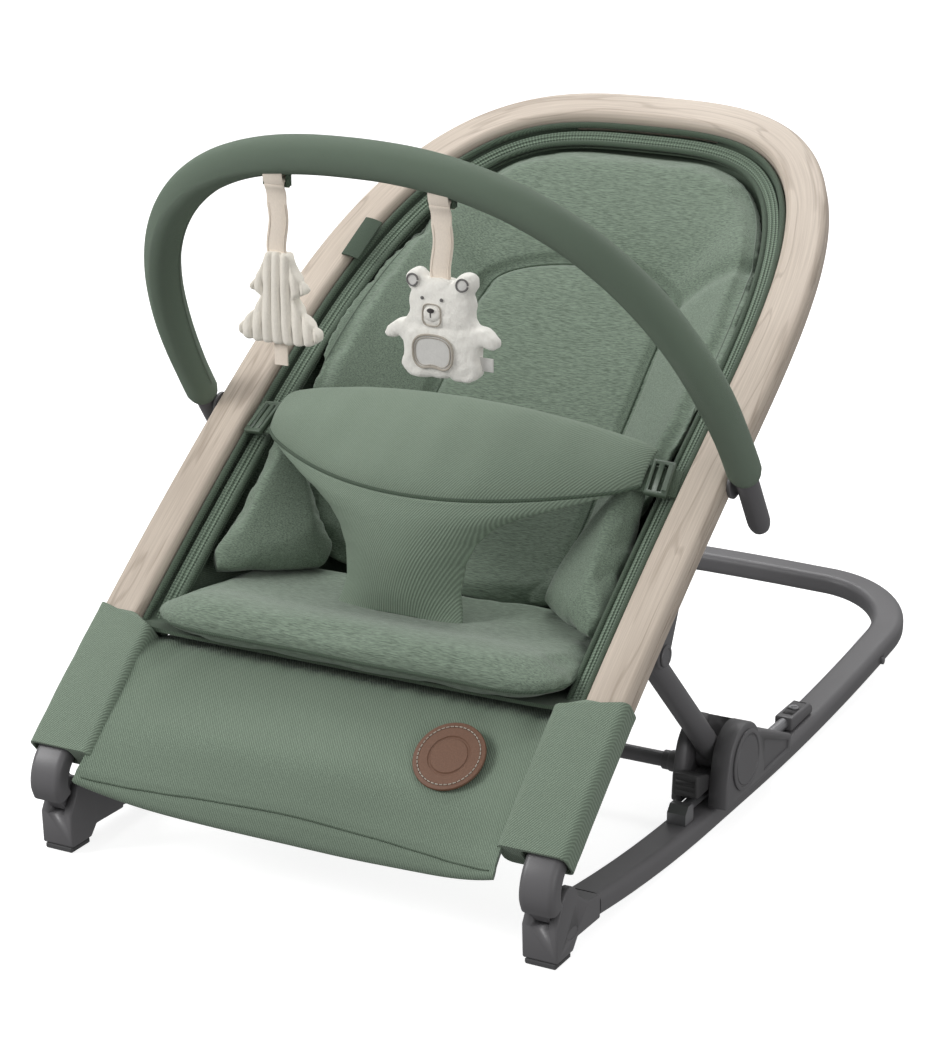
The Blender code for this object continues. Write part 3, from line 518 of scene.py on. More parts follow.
def sling_lifts():
    """(s, lift) of the hammock's middle line behind the back."""
    places = [spline(SLING, t) - np.array(SEAT_BASE) for t in np.linspace(4.5, len(SLING) - 1, 60)]
    return np.array([(p @ ALONG, p @ OUT - seat_bow(p @ ALONG)) for p in places])


SLING_LIFTS = sling_lifts()


def bowl_point(s, x, lift):
    """A point over the hollow of the backrest: on the hammock in the middle, near the frame at its sides."""
    centre = float(np.interp(s, SLING_LIFTS[:, 0], SLING_LIFTS[:, 1]))
    rise = min(1.0, abs(x) / BOWL_HALF) ** BOWL_POWER
    return seat_point(x, s, centre + (max(BOWL_EDGE, centre) - centre) * rise + lift)


def shell(top, bottom):
    """A closed skin from two grids of points, one over the other."""
    rows, columns = len(top), len(top[0])
    verts = [p for row in top for p in row] + [p for row in bottom for p in row]
    shift = rows * columns
    faces = []
    for i in range(rows - 1):
        for j in range(columns - 1):
            quad = (i * columns + j, i * columns + j + 1, (i + 1) * columns + j + 1, (i + 1) * columns + j)
            faces += [quad, tuple(k + shift for k in reversed(quad))]
    border = list(range(columns)) + [i * columns + columns - 1 for i in range(1, rows)]
    border += [(rows - 1) * columns + j for j in range(columns - 2, -1, -1)]
    border += [i * columns for i in range(rows - 2, 0, -1)]
    faces += [(a, a + shift, b + shift, b) for a, b in zip(border, border[1:] + border[:1])]
    return verts, faces


def grids(rows, columns, place):
    """Upper and lower grids, from place(row, column), which gives a point of each."""
    pairs = [[place(row, column) for column in columns] for row in rows]
    return [[[pair[k] for pair in line] for line in pairs] for k in (0, 1)]


def sine_steps(count):
    """From -1 to 1, closer together at the ends."""
    return np.sin(np.linspace(-math.pi / 2, math.pi / 2, count))


# ---- padding -------------------------------------------------------------------------------

def points_of(obj):
    co = np.empty(len(obj.data.vertices) * 3)
    obj.data.vertices.foreach_get("co", co)
    return co.reshape(-1, 3)


def set_points(obj, co):
    obj.data.vertices.foreach_set("co", np.asarray(co, float).ravel())
    obj.data.update()


def normals_of(obj):
    n = np.empty(len(obj.data.vertices) * 3)
    obj.data.vertex_normals.foreach_get("vector", n)
    return n.reshape(-1, 3)


def inflate(obj, voxel, pressure, cap, frames=20):
    """Blows a closed cloth form up with Blender's Cloth and keeps the swelling under a cap."""
    modifier = obj.modifiers.new("voxel", "REMESH")
    modifier.mode, modifier.voxel_size = "VOXEL", voxel
    settle(obj)
    rest = points_of(obj)
    cloth = obj.modifiers.new("cloth", "CLOTH")
    settings = cloth.settings
    settings.quality, settings.mass = 5, 0.3
    settings.tension_stiffness = settings.compression_stiffness = 15.0
    settings.shear_stiffness, settings.bending_stiffness = 5.0, 0.5
    settings.use_pressure, settings.uniform_pressure_force = True, pressure
    settings.effector_weights.gravity = 0.0
    cloth.collision_settings.use_collision = False
    cloth.point_cache.frame_start, cloth.point_cache.frame_end = 1, frames
    for number in range(1, frames + 1):
        bpy.context.scene.frame_set(number)
    bpy.context.view_layer.update()
    graph = bpy.context.evaluated_depsgraph_get()
    mesh = bpy.data.meshes.new_from_object(obj.evaluated_get(graph))
    moved = np.empty(len(mesh.vertices) * 3)
    mesh.vertices.foreach_get("co", moved)
    obj.modifiers.clear()
    bpy.context.scene.frame_set(1)
    move = moved.reshape(-1, 3) - rest
    size = np.linalg.norm(move, axis=1, keepdims=True)
    move *= np.minimum(1.0, cap / np.maximum(size, 1e-9))
    set_points(obj, rest + move)
    smooth_mesh(obj, 1)


def smooth_mesh(obj, times):
    """Smooths a mesh and divides it once."""
    modifier = obj.modifiers.new("smooth", "SMOOTH")
    modifier.iterations, modifier.factor = times, 0.5
    modifier = obj.modifiers.new("sub", "SUBSURF")
    modifier.levels = modifier.render_levels = 1
    settle(obj)
    obj.data.shade_smooth()


def wrinkle(obj, size, depth, seed=0.0):
    """Slow soft unevenness along the normals."""
    co, n = points_of(obj), normals_of(obj)
    values = np.array([noise.noise(Vector(p / size + seed)) for p in co])
    set_points(obj, co + n * (values * depth)[:, None])


def groove(obj, path, depth, width):
    """Presses a sewn channel into the front of a piece along a path of (x, s)."""
    co, n = points_of(obj), normals_of(obj)
    y, z = co[:, 1] + CENTRE_Y - SEAT_BASE[0], co[:, 2] - SEAT_BASE[1]
    away = path_distance(np.array(path, float), np.stack([co[:, 0], y * ALONG[0] + z * ALONG[1]], axis=1))
    press = depth * np.exp(-(away / width) ** 2) * (n @ np.array((0, *OUT)) > 0.1)
    set_points(obj, co - n * press[:, None])


def path_distance(path, p):
    """Distance of flat points p to a polyline."""
    best = np.full(len(p), 9.0)
    for a, b in zip(path[:-1], path[1:]):
        ab = b - a
        t = np.clip(((p - a) @ ab) / (ab @ ab), 0, 1)
        best = np.minimum(best, np.linalg.norm(p - a - t[:, None] * ab, axis=1))
    return best


# ---- base ----------------------------------------------------------------------------------

def rail_bottom(y):
    """The height of the rail's rocking curve above the floor."""
    away = max(0.0, abs(y - ROCK_Y) - ROCK_FLAT)
    return away ** 2 / (2 * (1.5 if y < ROCK_Y else 2.5))


def make_base_frame():
    """The rocking rails and the rear bar, one bent tube, with a pocket for each rear stand."""
    rear, corner, stand_y = 0.704, 0.087, 0.585
    half = [(RAIL_X, y) for y in np.linspace(0.052, ROCK_Y - ROCK_FLAT, 20)]
    half += [(RAIL_X, y) for y in np.linspace(ROCK_Y + ROCK_FLAT, rear - corner, 24)]
    for k in range(1, 19):
        angle = math.pi / 2 * k / 18
        half.append((RAIL_X - corner * (1 - math.cos(angle)), rear - corner * (1 - math.sin(angle))))
    half += [(x, rear + 0.003 * (1 - (x / (RAIL_X - corner)) ** 2)) for x in (0.07, 0.035, 0.0)]
    plan = half + [(-x, y) for x, y in reversed(half[:-1])]
    path = np.array([(x, y, rail_bottom(y) + RAIL_H / 2) for x, y in plan])
    ups = np.array([(0.0, 0.0, 1.0)] * len(path))
    sides = np.cross(directions(path), ups)
    sides /= np.linalg.norm(sides, axis=1)[:, None]
    rail = swept("rail", path, sides, ups, rounded_rect(0.027, RAIL_H, 0.0062, 7), "plastic")
    floor = rail_bottom(stand_y)
    for side in (-1, 1):
        combine(rail, "DIFFERENCE", side, box(*about(RAIL_X, 0.009), 0.555, 0.598, -0.01, floor + 0.0125),
                x_disc((stand_y, floor + 0.0065), about(RAIL_X, 0.02), 0.0033))
    finish_piece(rail, "base", "grey_plastic", "base_frame")


def make_front_foot(tag, side):
    """A block with two rounded ears, a pin between them, and a shallow dish in its outer face."""
    low = rail_bottom(0.052)
    shape = [(-0.0140, 0.0046), (0.0100, 0.0046), (0.0170, 0.0125)]
    shape += [(0.0515, low), (0.0515, low + RAIL_H), (0.0320, 0.0330)]
    shape += arc(*FOOT_PIVOT, 0.0118, 10, 170, 20) + [(-0.0150, 0.0300)]
    foot = new_object("foot_" + tag, *mirrored(prism(shape, *about(RAIL_X, 0.0135)), side), "plastic")
    soften(foot, 0.0024, 4)
    combine(foot, "DIFFERENCE", side, box(*about(RAIL_X, 0.0068), -0.03, 0.0175, 0.0295, 0.07))
    combine(foot, "UNION", side, x_disc(FOOT_PIVOT, about(RAIL_X, 0.012), 0.003))
    dish = [[(RAIL_X + 0.0131 + t, 0.0085 + a * 0.0085, 0.0190 + b * 0.0042) for a, b in circle(1.0, 32)]
            for t in (0.0, 0.003)]
    combine(foot, "DIFFERENCE", side, loft(dish))
    finish_piece(foot, "base", "grey_plastic", "front_foot_" + tag)


def make_guide_bracket(tag, side):
    """The lug at the rear end of the guide rod, with two grooves in its top."""
    low0, low1 = (RAIL_H + rail_bottom(y) + 0.0008 for y in (0.405, 0.448))
    shape = [(0.405, low0), (0.448, low1), (0.448, 0.0280), (0.442, 0.0315), (0.405, 0.0315)]
    part = new_object("rod_bracket_" + tag, *mirrored(prism(shape, *about(RAIL_X, 0.0075)), side), "plastic")
    soften(part, 0.0016)
    for y in (0.412, 0.4395):
        combine(part, "DIFFERENCE", side, box(*about(RAIL_X, 0.0045), y, y + 0.004, 0.0300, 0.04))
    finish_piece(part, "base", "grey_plastic", "guide_bracket_" + tag)


def make_screw(tag, side):
    """A round screw head with a cross recess."""
    y = 0.4260
    rings = [[(RAIL_X + a * r, y + b * r, z) for a, b in circle(1.0, 32)]
             for r, z in ((0.0042, 0.0318), (0.0042, 0.0324), (0.0036, 0.0330))]
    head = new_object("rod_screw_" + tag, *mirrored(loft(rings), side), "steel")
    for wide, long in ((0.0005, 0.0024), (0.0024, 0.0005)):
        combine(head, "DIFFERENCE", side, box(*about(RAIL_X, wide), *about(y, long), 0.0326, 0.04))
    finish_piece(head, "base", "rod_steel", "guide_screw_" + tag)


# ---- hard parts of the seat -----------------------------------------------------------------

def framed(plan, lift=0.0):
    """Points along a plan of (x, s), and the directions across and out from the seat there."""
    path = np.array([seat_point(x, s, lift) for x, s in plan])
    ups = np.array([seat_normal(s) for _, s in plan])
    return path, np.cross(directions(path), ups), ups


def make_wood_frame():
    """The bowed strip, with the thin joint line of its veneer round the outer face."""
    path, sides, ups = framed(outline(STRIP_W / 2, 70, -0.118))
    sides /= np.linalg.norm(sides, axis=1)[:, None]
    edge = STRIP_W / 2
    line = [(edge, 0.0018), (edge - 0.0009, 0.0022), (edge - 0.0009, 0.0030), (edge, 0.0034)]
    section = line + rounded_rect(STRIP_W, STRIP_T, 0.0055, 7)
    strip = swept("wood_frame", path, sides, ups, section, "wood", 30.0)
    finish_piece(strip, "seat", "oak_strip", "seat_frame")


def make_front_knuckle(tag, side):
    """The curved piece from the end of the wood strip down to an eye on the foot's pin."""
    start = seat_point(0, -0.1196)
    line = smooth_path([(start[1], start[2]), (-0.0080, 0.0755), (-0.0135, 0.0690), (-0.0170, 0.0610),
                        (-0.0178, 0.0530), (-0.0150, 0.0455)], 26)
    path = np.array([(OUTER_HALF - STRIP_W / 2, a, b) for a, b in line])
    t = directions(path)
    ups = np.stack([0 * t[:, 0], -t[:, 2], t[:, 1]], axis=1)
    path[:, 0] *= side
    part = swept("knuckle_" + tag, path, np.array([(1.0, 0, 0)] * len(path)), ups,
                 rounded_rect(0.0275, 0.0155, 0.0050, 7), "plastic")
    eye = [(-0.0120, 0.0600)] + arc(*FOOT_PIVOT, 0.0105, 75, -100, 24)
    eye += [(-0.0100, 0.0325), (-0.0180, 0.0430), (-0.0180, 0.0580)]
    eye_half, far = 0.0064, 0.02
    combine(part, "UNION", side, prism(eye, *about(RAIL_X, eye_half)))
    combine(part, "DIFFERENCE", side, x_disc(FOOT_PIVOT, about(RAIL_X, far), 0.0033),
            x_disc(FOOT_PIVOT, (RAIL_X - far, RAIL_X - eye_half), 0.0125),
            x_disc(FOOT_PIVOT, (RAIL_X + eye_half, RAIL_X + far), 0.0125))
    finish_piece(part, "seat", "grey_plastic", "front_knuckle_" + tag)


def make_leg_bracket(tag, side):
    """The hanger under the strip that the leg's upper pin goes through."""
    y, z = LEG_PIVOT
    shape = [tuple(seat_point(0, s, -STRIP_T / 2 - 0.0008)[1:]) for s in (0.098, 0.050)]
    shape += arc(y, z, 0.0100, 200, 340, 20)
    part = new_object("leg_hanger_" + tag, *mirrored(prism(shape, *about(LEG_X, 0.015)), side), "plastic")
    soften(part, 0.0014)
    combine(part, "DIFFERENCE", side, box(*about(LEG_X, 0.010), *about(y, 0.03), z - 0.03, z + 0.0125))
    combine(part, "UNION", side, x_disc(LEG_PIVOT, about(LEG_X, 0.012), 0.003))
    finish_piece(part, "seat", "grey_plastic", "leg_bracket_" + tag)


def turned(name, profile, centre, side, count=64):
    """Rings round a sideways axis from (radius, x) pairs."""
    rings = [[(x, centre[0] + a * r, centre[1] + b * r) for a, b in circle(1.0, count)] for r, x in profile]
    return new_object(name, *mirrored(loft(rings), side), "plastic", smooth=35)


def make_pivot_cap(tag, side):
    """The round cap over the leg's upper pin."""
    x = LEG_X + 0.0153
    profile = [(0.0078, x), (0.0080, x + 0.0004), (0.0080, x + 0.0011), (0.0074, x + 0.0018),
               (0.0060, x + 0.0020), (0.0056, x + 0.0014), (0.0010, x + 0.0014)]
    cap = turned("leg_cap_" + tag, profile, LEG_PIVOT, side)
    finish_piece(cap, "seat", "grey_plastic", "pivot_cap_" + tag)


def make_arch_clip(tag, side):
    """The round socket on the wood that the toy arch turns in."""
    x = OUTER_HALF + 0.0003
    profile = [(0.0106, x), (0.0108, x + 0.0004), (0.0108, x + 0.0022), (0.0102, x + 0.0028),
               (0.0092, x + 0.0029), (0.0088, x + 0.0024), (0.0010, x + 0.0024)]
    socket = turned("arch_socket_" + tag, profile, ARCH_PIVOT, side)
    finish_piece(socket, "seat", "grey_plastic", "arch_clip_" + tag)


# ---- legs, hubs and cross tube --------------------------------------------------------------

def make_leg(tag, side):
    """A round strut with an eye at each end."""
    (y0, z0), (y1, z1) = LEG_PIVOT, HUB_PIVOT
    length = math.hypot(y1 - y0, z1 - z0)
    dy, dz = (y1 - y0) / length, (z1 - z0) / length
    points = [(LEG_X * side, y0 + dy * d, z0 + dz * d) for d in np.linspace(0.004, length - 0.004, 6)]
    part = tube("leg_" + tag, points, 0.0092, "plastic", 40, ends=False)
    for pivot, radius, bore in ((LEG_PIVOT, 0.0096, 0.0033), (HUB_PIVOT, 0.0115, 0.0043)):
        combine(part, "UNION", side, x_disc(pivot, about(LEG_X, 0.0095), radius, 48))
        combine(part, "DIFFERENCE", side, x_disc(pivot, about(LEG_X, 0.02), bore))
    soften(part, 0.0006, 2, 40)
    finish_piece(part, "support_legs", "grey_plastic", "support_leg_" + tag)


def make_hub(tag, side):
    """Two cheeks with the leg between them, ribbed on the outside, over a channel for the rod."""
    inner, outer = 0.1865, 0.2085
    shape = [(0.2385, 0.0205), (0.3000, 0.0205), (0.3620, 0.0228), (0.3620, 0.0380), (0.3040, 0.0620)]
    shape += arc(*HUB_PIVOT, 0.0285, 30, 165, 30) + [(0.2400, 0.0400)]
    part = new_object("carriage_" + tag, *mirrored(prism(shape, 0.1780, 0.2235), side), "plastic")
    soften(part, 0.0018)
    slot = [(0.2300, 0.0370), (0.2850, 0.0370), (0.2880, 0.0500), (0.2860, 0.1000), (0.2300, 0.1000)]
    recess = [(0.3080, 0.0270), (0.3560, 0.0285), (0.3560, 0.0350), (0.3080, 0.0530)]
    combine(part, "DIFFERENCE", side, prism(slot, inner, outer),
            box(inner, outer, 0.2300, 0.2475, 0.0100, 0.1000),
            box(*about(RAIL_X, 0.009), 0.2000, 0.4000, 0.0100, 0.0360), prism(recess, 0.2222, 0.2300))
    combine(part, "UNION", side, x_disc(HUB_PIVOT, (inner - 0.002, outer + 0.002), 0.0040))
    finish_piece(part, "hub_carriage", "grey_plastic", "hub_" + tag)


def make_hub_cap(tag, side):
    """The round disc on the hub: a rim, a groove, and a raised boss."""
    x = 0.2238
    profile = [(0.0233, x), (0.0236, x + 0.0004), (0.0236, x + 0.0012), (0.0226, x + 0.0018),
               (0.0206, x + 0.0018), (0.0200, x + 0.0008), (0.0192, x + 0.0008), (0.0186, x + 0.0016),
               (0.0010, x + 0.0017)]
    disc = turned("hub_disc_" + tag, profile, HUB_PIVOT, side)
    finish_piece(disc, "hub_carriage", "grey_plastic", "hub_cap_" + tag)


def make_button(tag, side):
    """The release block in front of the hub, with grip grooves."""
    shape = [(0.2210, 0.0335), (0.2430, 0.0335), (0.2430, 0.0455), (0.2210, 0.0515)]
    part = new_object("release_" + tag, *mirrored(prism(shape, 0.1873, 0.2077), side), "plastic_dark")
    soften(part, 0.0018, 4)
    for z in (0.0385, 0.0425, 0.0465):
        combine(part, "DIFFERENCE", side, box(0.1900, 0.2050, 0.2190, 0.2217, z, z + 0.0016))
    body = "button_left" if side < 0 else "button_right"
    finish_piece(part, body, "grey_plastic", "release_button_" + tag)


def make_cross_tube():
    """The tube between the hubs, with a stepped collar at each end."""
    inner = 0.1780
    half = [(0.0080, inner - 0.0003), (0.0082, inner - 0.0007), (0.0082, inner - 0.0135),
            (0.0078, inner - 0.0142), (0.0074, inner - 0.0146), (0.0074, inner - 0.0196),
            (0.0070, inner - 0.0200), (0.0058, inner - 0.0202)]
    profile = half + [(r, -x) for r, x in reversed(half)]
    tie = turned("hub_tie", profile, (0.2700, 0.0380), 1, 40)
    finish_piece(tie, "hub_carriage", "grey_plastic", "cross_tube")


# ---- toy arch ------------------------------------------------------------------------------

def arch_point(x, rise):
    """A point in the leaning plane of the toy arch."""
    return np.array((x, ARCH_PIVOT[0] - rise * math.sin(LEAN), ARCH_PIVOT[1] + rise * math.cos(LEAN)))


def arch_curve(t):
    """A point on the middle line of the arch, at an angle t from its right end."""
    c = math.cos(t)
    x = math.copysign(abs(c) ** (2 / ARCH_POWER), c) * ARCH_HALF
    return arch_point(x, ARCH_STEM + ARCH_RISE * math.sin(t) ** (2 / ARCH_POWER))


def toy_base(x):
    """The underside of the arch above a toy."""
    point = arch_curve(math.acos((abs(x) / ARCH_HALF) ** (ARCH_POWER / 2)))
    return np.array((x, point[1], point[2] - FOAM_R))


def make_arch():
    """The foam sleeve: gathered a little at its ends, with a seam along its inner side."""
    ts = [math.radians(0.78 + 178.44 * (1 - math.cos(math.pi * k / 300)) / 2) for k in range(301)]
    points = even([arch_curve(t) for t in ts], 170)
    span = np.linspace(0, 1, len(points))
    near = np.clip(1.6 * (1 - np.minimum(span, 1 - span) / 0.10), 0, 1)
    radii = FOAM_R + (FOAM_END_R - FOAM_R) * near
    radii = radii * (1 - 0.12 * np.exp(-span / 0.002) - 0.12 * np.exp(-(1 - span) / 0.002))
    radii = radii * (1 + 0.010 * np.array([noise.noise(Vector((v * 26, 0.3, 0))) for v in span]))
    sleeve = tube("toy_arch_sleeve", points, radii, "arch", 40)
    finish_piece(sleeve, "toy_arch", "arch_sleeve", "toy_bar")
    inward = np.cross(directions(points), (0, math.cos(LEAN), math.sin(LEAN)))
    centre = np.array([0, *arch_point(0, 0.12)[1:]])
    inward *= np.sign(np.sum(inward * (centre - points), axis=1))[:, None]
    line = (points + inward * (radii * 0.995)[:, None])[3:-3]
    finish_piece(tube("toy_arch_seam", line, 0.0011, "green_thread", 8), "toy_arch", "arch_sleeve")


def make_arch_end(tag, side):
    """The bare end of the arch's tube, which turns in its clip."""
    x = ARCH_HALF - 0.0004
    route = smooth_path([arch_point(x, 0.0112), arch_point(x, 0.0010), arch_point(x - 0.0004, -0.0230),
                         arch_point(x - 0.0008, -0.0470)], 22)
    route[:, 0] *= side
    radii = np.full(22, 0.0085)
    radii[-3:] = (0.0084, 0.0078, 0.0066)
    end = tube("arch_end_" + tag, route, radii, "plastic", 40, ends=False)
    finish_piece(end, "toy_arch", "grey_plastic", "toy_bar_tube_" + tag)


def make_toy_loop(tag, side):
    """A short cloth tab under the arch, in two leaves, with the roll that the toy's strap turns on."""
    x, y, z = toy_base(TOY_X[side])
    half = 0.0092
    roll = tube("toy_tab_" + tag, [(x + d, y, z - 0.0064) for d in np.linspace(-half, half, 5)], 0.0018,
                "edging", 20)
    finish_piece(roll, "toy_arch", "arch_sleeve", "toy_loop_" + tag)
    for k, d in enumerate((-1, 1)):
        tab = bar(f"toy_tab_{tag}_{k}", [(x + d * half, y, z + v) for v in (0.0030, 0.0, -0.0040, -0.0072)],
                  [(0, 1, 0)] * 4, 0.0060, 0.0022, "edging")
        finish_piece(tab, "toy_arch", "arch_sleeve")
        fall = ((0.0050, 0.0066), (0.0, 0.0062), (-0.0036, 0.0054), (-0.0056, 0.0044))
        leaf = bar(f"toy_sling_{tag}_{k}", [(x, y + d * f, z + v) for v, f in fall], [(1, 0, 0)] * 4, 0.0156,
                   0.0012, "cream_strap")
        finish_piece(leaf, "toy_arch", "cream_plush")


def make_strap(name, side, drop, body):
    """The ribbon that a toy hangs on, looped over the roll under the arch, a little wavy."""
    x, y, z = toy_base(TOY_X[side])
    turns, fallen, width = 18, 14, 0.0158
    loop = [(y + 0.0040 * math.cos(a), z - 0.0064 + 0.0040 * math.sin(a))
            for a in np.radians(np.linspace(-40, 215, turns))]
    fall = [(y - 0.0022, z - 0.0105), (y - 0.0012, z - 0.0140)]
    fall += [(y - 0.0012, h) for h in np.linspace(z - 0.0200, z - drop, fallen)]
    wave = np.concatenate([np.zeros(turns + 2), 0.0012 * np.sin(np.linspace(0, 5.5, fallen))])
    line = [(x + w, a, h) for w, (a, h) in zip(wave, loop + fall)]
    ribbon = bar(name + "_ribbon", line, [(1, 0.02, 0)] * len(line), width, 0.0014, "cream_strap")
    declare([[(px + d, py, pz) for px, py, pz in line] for d in (-width / 2, width / 2)])
    finish_piece(ribbon, body, "cream_plush", name)
    for k, d in enumerate((-0.0064, 0.0064)):
        edge = [(px + d, py - 0.0008, pz) for px, py, pz in line[turns + 2:]]
        finish_piece(tube(f"{name}_edge_{k}", edge, 0.0005, "cream_strap", 6), body, "cream_plush")


def ellipse(cx, cz, rx, rz, turn=0.0, count=40):
    c, s = math.cos(turn), math.sin(turn)
    return [(cx + rx * a * c - rz * b * s, cz + rx * a * s + rz * b * c) for a, b in circle(1.0, count)]


def stuffed(name, outlines, centre, half, mat, voxel, cap):
    """A stuffed flat toy: front-view outlines given depth, merged by the remesh, then blown up."""
    x, y, z = centre
    verts, faces = [], []
    for shape in outlines:
        more, more_faces = loft([[(x + px, y + d, z + pz) for px, pz in shape] for d in (-half, half)])
        faces += [tuple(k + len(verts) for k in f) for f in more_faces]
        verts += more
    toy = new_object(name, verts, faces, mat)
    inflate(toy, voxel, 3.0, cap, 12)
    return toy


def make_tree():
    """The tree: three tiers under a flat top, ribbed like corduroy, with a ribbon below."""
    x, y, z = toy_base(TOY_X[-1])
    top, height = z - 0.0533, 0.066
    right = [(0.0060, -0.0005), (0.0105, -0.0040), (0.0135, -0.0130), (0.0200, -0.0220), (0.0225, -0.0275),
             (0.0185, -0.0305), (0.0135, -0.0315), (0.0190, -0.0415), (0.0300, -0.0530), (0.0325, -0.0590),
             (0.0290, -0.0640), (0.0200, -0.0655), (0.0090, -0.0660)]
    shape = right + [(-a, b) for a, b in reversed(right)]
    toy = stuffed("tree", [smooth_path(shape + shape[:1], 150)[:-1]], (x, y, top), 0.0055, "corduroy", 0.0019,
                  0.0045)
    co, n = points_of(toy), normals_of(toy)
    spread = 1 + 0.25 * (top - co[:, 2]) / height
    ribs = np.abs(np.sin(math.pi * (co[:, 0] - x) / (0.0068 * spread) + math.pi / 2))
    set_points(toy, co + n * ((ribs ** 0.45 - 0.80) * 0.0034 * np.abs(n[:, 1]) ** 0.4)[:, None])
    finish_piece(toy, "tree", "cream_plush", "tree_toy")
    tag = bar("tree_ribbon", [(x, y, top + v) for v in (-0.0630, -0.0690, -0.0750, -0.0820)], [(1, 0, 0)] * 4,
              0.0110, 0.0016, "cream_strap")
    finish_piece(tag, "tree", "cream_plush")


def ball(name, centre, radii, mat, count=20):
    """A squashed ball made of rings."""
    rings = []
    for k in range(1, count):
        a = math.pi * k / count
        rings.append([(centre[0] + radii[0] * math.sin(a) * c, centre[1] + radii[1] * math.sin(a) * s,
                       centre[2] + radii[2] * math.cos(a)) for c, s in circle(1.0, 2 * count)])
    return new_object(name, *loft(rings), mat, smooth=80)


def squircle(cx, cz, rx, rz, power, turns, notch=0.0):
    """A rounded box outline at the given turns, dented at the bottom by a notch."""
    points = []
    for a in turns:
        size = 1 - notch * math.exp(-((a - 1.5 * math.pi) / 0.35) ** 2)
        points.append((cx + rx * size * math.copysign(abs(math.cos(a)) ** power, math.cos(a)),
                       cz + rz * size * math.copysign(abs(math.sin(a)) ** power, math.sin(a))))
    return points


def make_bear():
    """The bear: round ears, a broad head, stub arms and two-lobed feet, with stitched features."""
    x, y, z = toy_base(TOY_X[1])
    top = z - 0.0543
    shapes = [ellipse(0.0, -0.0195, 0.0250, 0.0185), ellipse(0.0, -0.0360, 0.0268, 0.0215),
              ellipse(0.0, -0.0505, 0.0292, 0.0215)]
    for side in (-1, 1):
        shapes += [ellipse(side * 0.0190, -0.0035, 0.0078, 0.0072),
                   ellipse(side * 0.0160, -0.0620, 0.0145, 0.0110),
                   ellipse(side * 0.0345, -0.0400, 0.0105, 0.0052, -side * 0.60)]
    toy = stuffed("bear", shapes, (x, y, top), 0.0066, "plush", 0.0023, 0.0050)
    co, n = points_of(toy), normals_of(toy)
    neck = np.exp(-((co[:, 2] - (top - 0.0345)) / 0.0026) ** 2) * (np.abs(co[:, 0] - x) < 0.026)
    set_points(toy, co - n * (0.0008 * neck)[:, None])
    wrinkle(toy, 0.005, 0.0005)
    finish_piece(toy, "bear", "cream_plush", "bear_toy")
    co, reach = points_of(toy), 0.0030

    def front(px, pz):
        """The toy's front surface at a place on it."""
        near = (np.abs(co[:, 0] - (x + px)) < reach) & (np.abs(co[:, 2] - (top + pz)) < reach)
        return co[near, 1].min() + CENTRE_Y if near.any() else y - 0.010

    def on_front(shape, lift):
        return [(x + a, front(a, b) - lift, top + b) for a, b in shape]

    def sewn(piece):
        finish_piece(piece, "bear", "cream_plush")

    def knob(name, px, pz, radii, mat, sink=0.0):
        sewn(ball(name, (x + px, front(px, pz) + sink, top + pz), radii, mat))

    def thread_on(name, shape, lift, radius, mat):
        sewn(tube(name, on_front(shape, lift), radius, mat, 8, ends=False))

    def patch_on(name, shape, lift):
        """A flat patch that follows the surface inside an outline."""
        centre = np.mean(shape, axis=0)
        rows = [on_front(centre + (np.array(shape) - centre) * f, lift) for f in (0.02, 0.35, 0.7, 1.0)]
        rows.append([(a, b + 0.0030, c) for a, b, c in rows[-1]])
        sewn(new_object(name, *loft(rows), "patch"))

    muzzle = squircle(-0.0035, -0.0262, 0.0070, 0.0076, 0.6, np.linspace(0, 2 * math.pi, 49))
    knob("bear_muzzle", -0.0035, -0.0255, (0.0070, 0.0028, 0.0056), "plush", 0.0010)
    thread_on("bear_muzzle_edge", muzzle, 0.0002, 0.0005, "thread")
    nose_x, nose_y = x - 0.0035, front(-0.0035, -0.0255) - 0.0016
    sewn(ball("bear_nose", (nose_x, nose_y, top - 0.0228), (0.0028, 0.0013, 0.0017), "dark_thread"))
    for k, d in enumerate((-0.0110, 0.0040)):
        knob(f"bear_eye_{k}", d, -0.0150, (0.0013, 0.0009, 0.0013), "grey_thread")
    falls = ((-0.0004, 0.0230), (-0.0002, 0.0255), (0.0002, 0.0275))
    sewn(tube("bear_mouth", [(nose_x, nose_y + d, top - v) for d, v in falls], 0.00045, "dark_thread", 8))
    for k, d in enumerate((-0.0192, 0.0188)):
        patch_on(f"bear_ear_{k}", ellipse(d, -0.0036, 0.0042, 0.0040), 0.0003)
        edge = ellipse(d, -0.0036, 0.0042, 0.0040, 0.0, 33)
        thread_on(f"bear_ear_edge_{k}", edge, 0.0004, 0.0007, "grey_thread")
    cx, cz = -0.0030, -0.0525
    belly = squircle(cx, cz, 0.0155, 0.0125, 0.75, np.linspace(0, 2 * math.pi, 60, endpoint=False), 0.22)
    patch_on("bear_belly", belly, 0.0004)
    thread_on("bear_belly_edge", belly + belly[:1], 0.0006, 0.0008, "thread")
    inner = [(cx + (a - cx) * 0.88, cz + (b - cz) * 0.85) for a, b in belly]
    thread_on("bear_belly_stitch", inner + inner[:1], 0.0007, 0.0003, "thread")
    tag = [(x + 0.0280 + d, y, top - 0.0585) for d in (0.0, 0.004, 0.0075, 0.0105)]
    sewn(bar("bear_side_tag", tag, [(0, 0, 1)] * 4, 0.0095, 0.0012, "patch"))


# ---- cloth ---------------------------------------------------------------------------------

def declare(grid):
    """Measures a cloth sheet's flat width, length and area over the grid of points that it was made from, and
    keeps none of them.
    """
    grid = np.array(grid)
    width = float(np.linalg.norm(np.diff(grid, axis=1), axis=2).sum(axis=1).max())
    length = float(np.linalg.norm(np.diff(grid, axis=0), axis=2).sum(axis=0).max())
    across, back = grid[1:, 1:] - grid[:-1, :-1], grid[1:, :-1] - grid[:-1, 1:]
    area = float(np.linalg.norm(np.cross(across, back), axis=2).sum() / 2)


